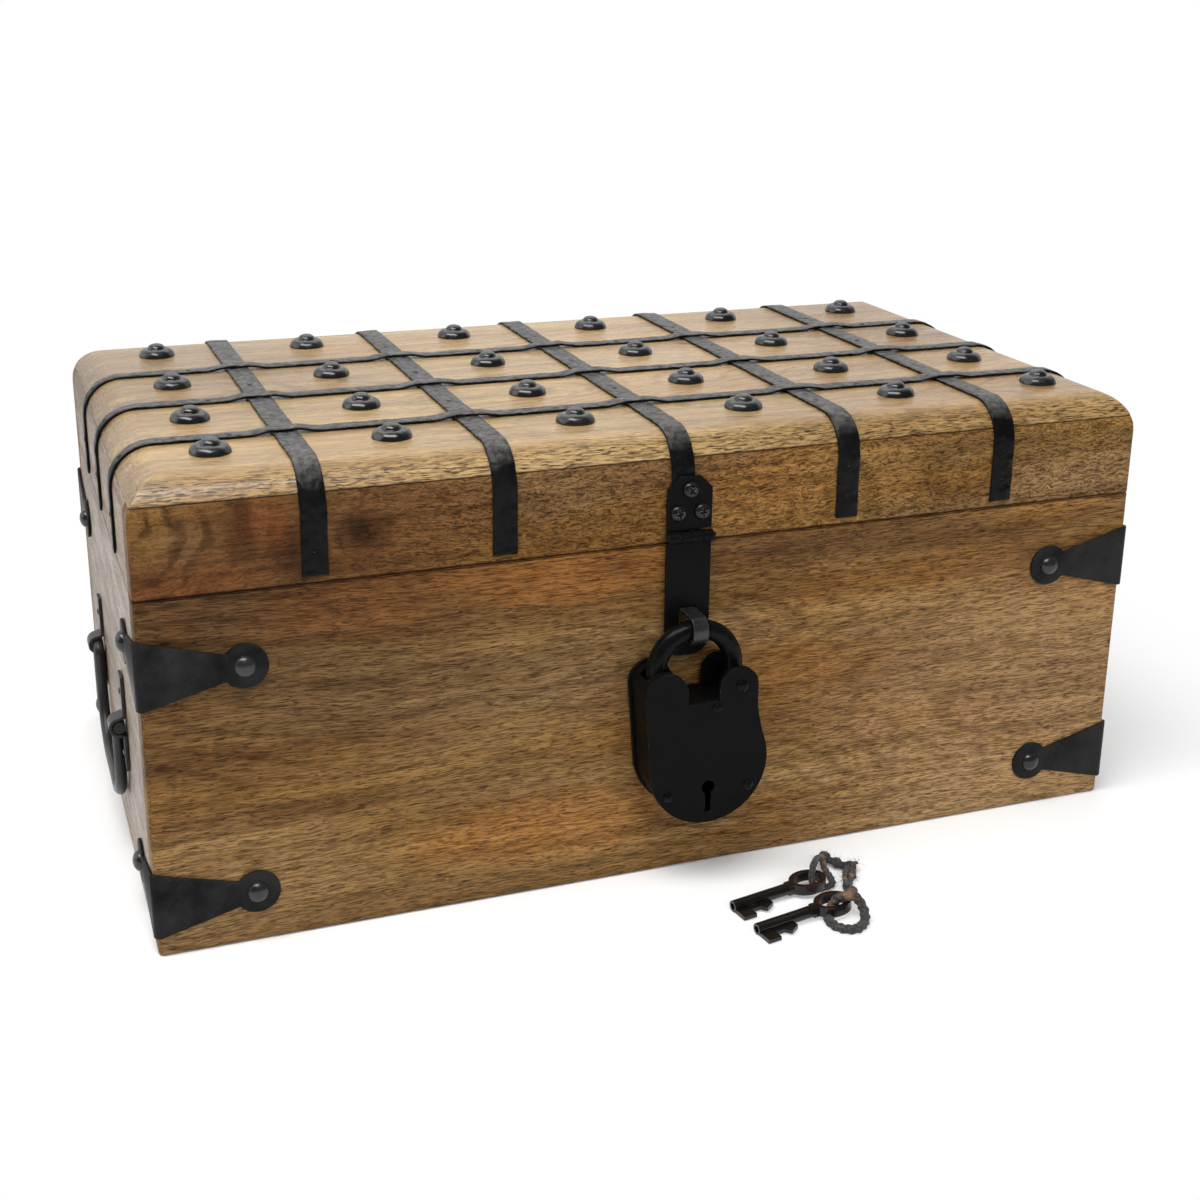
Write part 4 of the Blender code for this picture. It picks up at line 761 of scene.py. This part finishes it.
def strapMesh(name, plane, place, width, halfSpan, crossings, nails):
    path = evenSteps(strapPath(halfSpan, crossLow.z, crossings), strap["ringStep"])
    half, ease, thick, dent = width / 2, strap["edgeRound"], strap["thickness"], strap["dent"]
    section = [(-half + ease, 0), (half - ease, 0), (half, ease), (half, thick - ease),
               (half - ease, thick), (half * 0.45, thick), (0, thick), (-half * 0.45, thick),
               (-half + ease, thick), (-half, thick - ease), (-half, ease)]

    def placed(u, across, v):
        return (u, across, v) if plane == "XZ" else (across, u, v)

    shape = bmesh.new()
    rings = []
    run = 0.0
    stations = []
    for i, spot in enumerate(path):
        before, after = path[max(i - 1, 0)], path[min(i + 1, len(path) - 1)]
        along = (after - before).normalized()
        normal = Vector((-along.y, along.x))
        run += (spot - before).length
        stations.append((run, spot, normal))
        ring = []
        for across, off in section:
            edge = abs(across) / half
            own = place * 37.0 + halfSpan * 91.0  # so that each strap has dents of its own
            key = Vector((run * strap["dentScale"], across * strap["dentScale"], own))
            if off > thick / 2:
                off += dent * (noise.noise(key) - 0.35 * edge) + 0.5 * dent * noise.noise(key * 2.3)
            if edge > 0.8:
                sway = noise.noise(key * 0.45 + Vector((across * 900, 0, 3)))
                across += copysign(strap["waver"] * sway, across)
            u, v = spot + normal * off
            ring.append(placed(u, place + across, v))
        rings.append(ring)
    loftRings(shape, rings)

    radius, rise = strap["nailRadius"], strap["nailRise"]
    nail = [(radius, -headSink), (radius, 0.0001), (radius * 0.8, rise * 0.75), (radius * 0.4, rise),
            (0.00005, rise)]
    for share in nails:
        _, spot, normal = min(stations, key=lambda station: abs(station[0] - share * run))
        u, v = spot + normal * (thick - strap["nailSet"])
        outward = Vector(placed(normal.x, 0, normal.y))
        turned = outward.to_track_quat("Z", "Y").to_matrix().to_4x4()
        turnedSolid(shape, nail, strap["nailSides"], Matrix.Translation(placed(u, place, v)) @ turned)
    return meshFrom(name, shape, strapIron)


crossCentres = [middleOf(f"cross_strap_{number}")[0] for number in range(1, 6)]
longCentres = [middleOf(f"long_strap_{number}")[1] for number in range(1, 4)]
nails = strap["crossNails"]
for number, place in enumerate(crossCentres, start=1):
    mesh = strapMesh("crossStrap", "YZ", place, strap["width"], halfDepth, (), nails)
    addPiece(f"forgedCrossStrap_{number}", mesh, "lid", f"cross_strap_{number}")
nails = strap["longNails"]
for number, place in enumerate(longCentres, start=1):
    mesh = strapMesh("longStrap", "XZ", place, strap["longWidth"], halfLength, crossCentres, nails)
    addPiece(f"forgedLongStrap_{number}", mesh, "lid", f"long_strap_{number}")
print("straps forged")

# corner brackets: bent plates with a disc and a domed rivet at the end of each arm
bracket = {
    "arm": 0.0415, "cornerHeight": 0.029, "neck": 0.0115, "disc": 0.0095, "thickness": 0.0012,
    "edgeEase": 0.00022, "rivetRadius": 0.0047, "rivetHeight": 0.0032, "discSteps": 26, "bendSteps": 4,
}


def bracketMesh():
    shape = bmesh.new()
    half, ease = bracket["cornerHeight"] / 2, lidBoard["cornerEase"]
    columns = []
    for i in range(bracket["bendSteps"] + 1):
        turn = pi * 1.5 - pi / 2 * i / bracket["bendSteps"]
        x, y = (ease + (ease + layGap) * f(turn) for f in (cos, sin))
        columns.append([shape.verts.new((x, y, z)) for z in (-half, half)])
    for first, second in zip(columns, columns[1:]):
        shape.faces.new((first[0], second[0], second[1], first[1]))
    meet = pi - asin(bracket["neck"] / 2 / bracket["disc"])
    arms = []
    for i in range(bracket["discSteps"] + 1):
        turn = -meet + 2 * meet * i / bracket["discSteps"]
        arms.append((bracket["arm"] + bracket["disc"] * cos(turn), bracket["disc"] * sin(turn)))
    front = [shape.verts.new((u, -layGap, z)) for u, z in arms]
    side = [shape.verts.new((-layGap, u, z)) for u, z in arms]
    shape.faces.new([columns[0][0], columns[0][1], *reversed(front)])
    shape.faces.new([columns[-1][1], columns[-1][0], *side])
    bmesh.ops.recalc_face_normals(shape, faces=shape.faces)
    if min(shape.faces, key=lambda f: f.calc_center_median().y).normal.y > 0:
        bmesh.ops.reverse_faces(shape, faces=shape.faces)
    mesh = bpy.data.meshes.new("bracketSheet")
    shape.to_mesh(mesh)
    shape.free()
    plate = newObject("bracketSheet", mesh)
    solid = plate.modifiers.new("thickness", "SOLIDIFY")
    solid.thickness = bracket["thickness"]
    solid.offset = 1.0
    solid.use_even_offset = True
    easeEdges(plate, bracket["edgeEase"], 50.0)
    made = frozenMesh(plate, bracketIron)
    made.shade_smooth()
    return made


def rivetMesh(radius, height, sides=28, rings=8):
    shape = bmesh.new()
    profile = [(radius, -headSink), (radius, 0.0)]
    for i in range(1, rings):
        turn = pi / 2 * i / rings
        profile.append((radius * cos(turn), height * sin(turn)))
    profile.append((0.0001, height))
    turnedSolid(shape, profile, sides, wobble=0.00008)
    return meshFrom("rivet", shape, rivetIron)


plateMesh = bracketMesh()
headMesh = rivetMesh(bracket["rivetRadius"], bracket["rivetHeight"])
surface = -layGap - bracket["thickness"]
heads = {
    "a": Matrix.Translation((bracket["arm"], surface, 0)) @ Matrix.Rotation(pi / 2, 4, "X"),
    "b": Matrix.Translation((surface, bracket["arm"], 0)) @ Matrix.Rotation(-pi / 2, 4, "Y"),
}
# the turn of each corner, by whether it is on the left and in front
cornerTurns = {(True, True): 0.0, (False, True): pi / 2, (False, False): pi, (True, False): -pi / 2}
for name in [name for name in nodes if name.startswith("bracket_")]:
    x, y, z = middleOf(name)
    corner = Matrix.Translation((copysign(halfLength, x), copysign(halfDepth, y), z))
    matrix = corner @ Matrix.Rotation(cornerTurns[x < 0, y < 0], 4, "Z")
    shown = name.replace("bracket", "cornerPlate")
    addPiece(shown, plateMesh, "base", name, matrix)
    for arm, head in heads.items():
        addPiece(f"{shown}_rivet_{arm}", headMesh, "base", matrix=matrix @ head)
print("corner brackets made")

# screws: pan heads with a cross recess
screw = {
    "radius": 0.0036, "height": 0.0021, "recess": 0.0023, "slot": 0.0011, "depth": 0.0014, "sides": 32,
    "head": ((1.0, 0.12), (0.97, 0.35), (0.86, 0.62), (0.66, 0.84), (0.4, 0.96)),
    "spins": (0.7, 0.25, 0.1),
}


def screwMesh(scale=1.0):
    shape = bmesh.new()
    radius, height, depth = (screw[size] * scale for size in ("radius", "height", "depth"))
    head = [(radius * out, height * up) for out, up in screw["head"]]
    turnedSolid(shape, [(radius, -headSink), *head, (0.0001, height)], screw["sides"])
    head = newObject("screwHead", meshFrom("screwHead", shape))
    cutter = bmesh.new()
    reach, width = screw["recess"] * scale, screw["slot"] * scale / 2
    floor, mouth = (height - depth, reach * 0.35, width * 0.6), (height * 1.3, reach * 1.15, width)
    for turn in (0.0, pi / 2):
        rings = []
        for z, long, wide in (floor, mouth):
            ring = [(-long, -wide, z), (long, -wide, z), (long, wide, z), (-long, wide, z)]
            rings.append([Matrix.Rotation(turn, 3, "Z") @ Vector(point) for point in ring])
        loftRings(cutter, rings)
    tool = newObject("crossCutter", meshFrom("crossCutter", cutter))
    cut = head.modifiers.new("crossRecess", "BOOLEAN")
    cut.operation = "DIFFERENCE"
    cut.object = tool
    cut.use_self = True
    shading = head.modifiers.new("flatFaceShading", "WEIGHTED_NORMAL")
    shading.weight = 50
    made = frozenMesh(head, screwSteel)
    bpy.data.objects.remove(tool)
    return made


def setHead(name, mesh, body, place, turn, axis, spin=0.0, replaced=None):
    turned = Matrix.Rotation(turn, 4, axis) @ Matrix.Rotation(spin, 4, "Z")
    addPiece(name, mesh, body, replaced, Matrix.Translation(place) @ turned)


haspScrew = screwMesh()
for number, spin in enumerate(screw["spins"], start=1):
    name = f"hasp_screw_{number}"
    x, _, z = middleOf(name)
    place = (x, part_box(name)[0].y + screw["height"], z)
    setHead(f"crossHeadScrew_{number}", haspScrew, "lid", place,
            pi / 2, "X", spin, name)

fitting = {
    "screwScale": 0.62, "screwSpread": 0.34, "screwSpin": 0.8,
    # share of the spread, and distance from the hinge's pin
    "screwPlaces": ((-1, 0.0135), (0, 0.019), (1, 0.0135)),
    "nailRadius": 0.0016, "nailHeight": 0.0008, "upperInset": 0.008, "lowerInset": 0.0075,
}
hingeScrew = screwMesh(fitting["screwScale"])
nailHead = rivetMesh(fitting["nailRadius"], fitting["nailHeight"], 16, 5)
for end, sign in (("left", -1), ("right", 1)):
    for leaf in ("lid", "base"):
        low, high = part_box(f"{end}_hinge_{leaf}_leaf")
        middle, reach = (low.x + high.x) / 2, (high.x - low.x) * fitting["screwSpread"]
        for number, (share, away) in enumerate(fitting["screwPlaces"], start=1):
            z = low.z + away if leaf == "lid" else high.z - away
            place = (middle + share * reach, halfDepth + layGap + cadPlate, z)
            setHead(f"{end}_{leaf}_hinge_screw_{number}", hingeScrew, leaf, place,
                    -pi / 2, "X", number * fitting["screwSpin"])
    for where in ("front", "back"):
        name = f"{end}_clip_{where}"
        low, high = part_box(name)
        upper, lower = high.z - fitting["upperInset"], low.z + fitting["lowerInset"]
        for level, z in (("upper", upper), ("lower", lower)):
            place = (sign * (halfLength + layGap + cadPlate), middleOf(name)[1], z)
            setHead(f"{name}_nail_{level}", nailHead, "base", place, sign * pi / 2, "Y")
print("screws and nails set")

# twine: three plies twisted round the CAD's course, from the first knot through both bows to the last
twine = {
    "radius": 0.0014, "secondShare": 1.45, "pliesShare": 0.16, "rough": 0.1, "twist": 620.0,
    "sides": 18, "steps": 6, "raise": 0.0006, "clearance": 0.0001,
    # points in millimetres
    "course": (
        (66, -148.9, 2.6), (60.2, -153.5, 6), (54.8, -160.8, 8.6), (51.4, -165.4, 8.4),
        (50.2, -167.6, 4.5), (51.6, -169.4, 0.99), (55.6, -170.2, 0.97), (60, -168.5, 0.97),
        (61.8, -164, 1.1), (62.2, -159, 1.6), (63.2, -154, 2.2), (66, -148.9, 2.6), (70.2, -154.5, 1.8),
        (73.4, -160, 2.2), (69.5, -166.5, 1.4), (65, -173.5, 2.2), (62, -180, 4.2), (60.6, -184.5, 6),
        (58.6, -189, 8.8), (54.6, -192.4, 9.4), (51.8, -189.8, 7.6), (49.5, -188.6, 3.5),
        (47, -190.6, 0.99), (44.8, -194.5, 0.97), (44.6, -199.5, 0.97), (47.5, -204, 0.97),
        (52.8, -205.6, 1), (58.5, -201.5, 1.2), (60.4, -196.8, 3.4), (58.6, -193.6, 7.8),
        (54.6, -192.4, 9.4),
    ),
    "tailShare": 0.9, "tailTaper": 0.45, "tailSteps": 8,
    "tails": (
        ((73.4, -160, 2.2), (76, -159, 3.4), (78, -158.2, 2.8)),
        ((73.4, -160, 2.2), (73.2, -164, 1.6), (72.2, -167, 0.99)),
        ((73.4, -160, 2.6), (68.6, -164.5, 4), (63.6, -173, 5.2),
         (60.6, -180, 7), (59.4, -185, 8.6)),
    ),
    "wraps": 3, "wrapShare": 0.62, "wrapSteps": 14,
    "knots": ((66, -148.9, 2.6, 2.9), (69.7, -154, 2.2, 2.1),
              (73.4, -160, 2.4, 2.6), (54.6, -192.4, 9.4, 2.1)),
    "hairs": 620, "hairLength": (0.0014, 0.0042), "hairWidth": 0.00007, "hairSteps": 3,
    "hairClearance": 0.0003,
}


def smoothCourse(points, steps):
    lift = Vector((0, 0, twine["raise"]))
    given = [Vector([part / 1000 for part in point]) + lift for point in points]
    course = []
    for i in range(len(given) - 1):
        a, b = given[max(i - 1, 0)], given[i]
        c, d = given[i + 1], given[min(i + 2, len(given) - 1)]
        for step in range(steps):
            t = step / steps
            cubic, square = (3 * b - a - 3 * c + d) * t ** 3, (2 * a - 5 * b + 4 * c - d) * t * t
            course.append((cubic + square + (c - a) * t) / 2 + b)
    return course + [given[-1]]


def twistedRings(course, radius, taper=0.0, thicker=1.0):
    rings, frames = [], []
    side = Vector((0, 0, 1)).cross(course[1] - course[0]).normalized()
    run = 0.0
    for i, place in enumerate(course):
        before, after = course[max(i - 1, 0)], course[min(i + 1, len(course) - 1)]
        along = (after - before).normalized()
        side = (side - side.dot(along) * along).normalized()
        up = along.cross(side)
        run += (place - before).length
        share = i / (len(course) - 1)
        shrink = 1 - taper * share + (thicker - 1) * min(max((share - 0.35) * 8, 0), 1)
        ring = []
        for k in range(twine["sides"]):
            turn = 2 * pi * k / twine["sides"]
            plies = 1 + twine["pliesShare"] * cos(3 * (turn - run * twine["twist"]))
            rough = 1 + twine["rough"] * noise.noise(place * 700 + Vector((turn, 0, 0)))
            spot = place + (side * cos(turn) + up * sin(turn)) * radius * plies * rough * shrink
            spot.z = max(spot.z, twine["clearance"])
            ring.append(spot)
        rings.append(ring)
        frames.append((place, along, side, up))
    return rings, frames


def makeTwine():
    shape = bmesh.new()
    course = smoothCourse(twine["course"], twine["steps"])
    rings, frames = twistedRings(course, twine["radius"], thicker=twine["secondShare"])
    loftRings(shape, rings)
    cord = addPiece("keyTwine", meshFrom("keyTwine", shape, twineFinish), "keys", "key_twine")

    shape = bmesh.new()
    for tail in twine["tails"]:
        tail = smoothCourse(tail, twine["tailSteps"])
        tailRings, tailFrames = twistedRings(tail, twine["radius"] * twine["tailShare"], twine["tailTaper"])
        loftRings(shape, tailRings)
        frames += tailFrames * 2
    for knot in twine["knots"]:
        x, y, z, radius = (part / 1000 for part in knot)
        centre = Vector((x, y, max(z, radius) + twine["raise"]))
        reach = radius * twine["wrapShare"]
        for turn in range(twine["wraps"]):  # a knot is a few short wraps pulled over each other
            axis = Matrix.Rotation(turn * 1.1, 3, "Z") @ Matrix.Rotation(0.9 + turn * 0.5, 3, "X")
            wrap = []
            for i in range(twine["wrapSteps"] + 1):
                angle = 2 * pi * i / twine["wrapSteps"]
                spot = (reach * cos(angle), reach * sin(angle), 0.0004 * sin(angle / 2))
                wrap.append(centre + axis @ Vector(spot))
            wrapRings, wrapFrames = twistedRings(wrap, twine["radius"] * 0.8)
            loftRings(shape, wrapRings)
            frames += wrapFrames
    knots = addPiece("twineKnots", meshFrom("twineKnots", shape, twineFinish), "keys")

    shape = bmesh.new()
    luck = random.Random(11)
    for _ in range(twine["hairs"]):
        place, along, side, up = luck.choice(frames)
        turn = luck.uniform(0, 2 * pi)
        out = side * cos(turn) + up * sin(turn)
        heading = (out * luck.uniform(0.3, 1.0) + along * luck.uniform(-1.4, 1.4)).normalized()
        bend = Vector([luck.uniform(-0.5, 0.5) for _ in range(3)])
        long = luck.uniform(*twine["hairLength"])
        flat = heading.cross(out).normalized() * twine["hairWidth"]
        spot = place + out * twine["radius"] * 0.85
        rows = []
        for step in range(twine["hairSteps"] + 1):
            wide = flat * (1 - step / 3.2)
            rows.append((shape.verts.new(spot - wide), shape.verts.new(spot + wide)))
            spot = spot + heading * long / twine["hairSteps"]
            spot.z = max(spot.z, twine["hairClearance"])
            heading = (heading + bend * 0.5).normalized()
        for low, high in zip(rows, rows[1:]):
            shape.faces.new((low[0], low[1], high[1], high[0]))
    hairs = addPiece("twineFibres", meshFrom("twineFibres", shape, twineFinish), "keys")
    long = sum((second - first).length for first, second in zip(course, course[1:]))


makeTwine()
print("twine tied")


# white floor that keeps a soft shadow, and a white surround
def makeStage():
    material, tree, shader = newMaterial(
        "studioFloor", Base_Color=(*backdrop["floorColour"], 1), Roughness=0.9, Specular_IOR_Level=0.1,
    )
    glow = addNode("Emission", tree=tree, Color=(1, 1, 1, 1))
    path = addNode("LightPath", tree=tree).outputs["Is Camera Ray"]
    spot = addNode("NewGeometry", tree=tree).outputs["Position"]
    fade = backdrop["frontFade"]
    ahead = vectorNode("SUBTRACT", vectorNode("MULTIPLY", spot, (-1.0, -fade, 1.0)),
                       (halfLength, halfDepth * fade, 1.0))
    behind = vectorNode("SUBTRACT", spot, (halfLength, halfDepth, 1.0))
    away = vectorNode("MAXIMUM", vectorNode("MAXIMUM", ahead, behind))
    away = mathNode("DIVIDE", vectorNode("LENGTH", away), backdrop["shadowReach"])
    shadow = ramp(away, *backdrop["shadowStops"])
    share = times(path, mathNode("SUBTRACT", 1.0, shadow))
    mixed = addNode("MixShader", i0=share, i1=shader.outputs[0], i2=glow.outputs[0])
    tree.links.new(mixed.outputs[0], tree.nodes["Material Output"].inputs[0])
    shape = bmesh.new()
    bmesh.ops.create_grid(shape, x_segments=2, y_segments=2, size=backdrop["size"])
    floor = newObject("studioFloor", meshFrom("studioFloor", shape, material))
    floor.location = backdrop["place"]

    world = bpy.data.worlds.new("studioSurround")
    world.use_nodes = True
    bpy.context.scene.world = world
    tree = world.node_tree
    plain = tree.nodes["Background"]
    plain.inputs[0].default_value = (1, 1, 1, 1)
    plain.inputs[1].default_value = backdrop["diffuse"]
    rays = addNode("LightPath", tree=tree)
    direction = addNode("TexCoord", tree=tree).outputs["Generated"]
    depth = addNode("SeparateXYZ", Vector=direction).outputs[1]
    depth = mathNode("ADD", times(depth, 0.5), 0.5)
    level = ramp(depth, *backdrop["mirrorStops"])
    mirrored = addNode("Background", tree=tree)
    tree.links.new(level, mirrored.inputs[0])
    seen = addNode("Background", tree=tree, Color=(1, 1, 1, 1))
    shown = plain.outputs[0]
    for ray, other in (("Is Glossy Ray", mirrored), ("Is Camera Ray", seen)):
        shown = addNode("MixShader", i0=rays.outputs[ray], i1=shown, i2=other.outputs[0]).outputs[0]
    tree.links.new(shown, tree.nodes["World Output"].inputs[0])


makeStage()
bpy.context.scene.view_settings.view_transform = "Standard"
print("studio made")
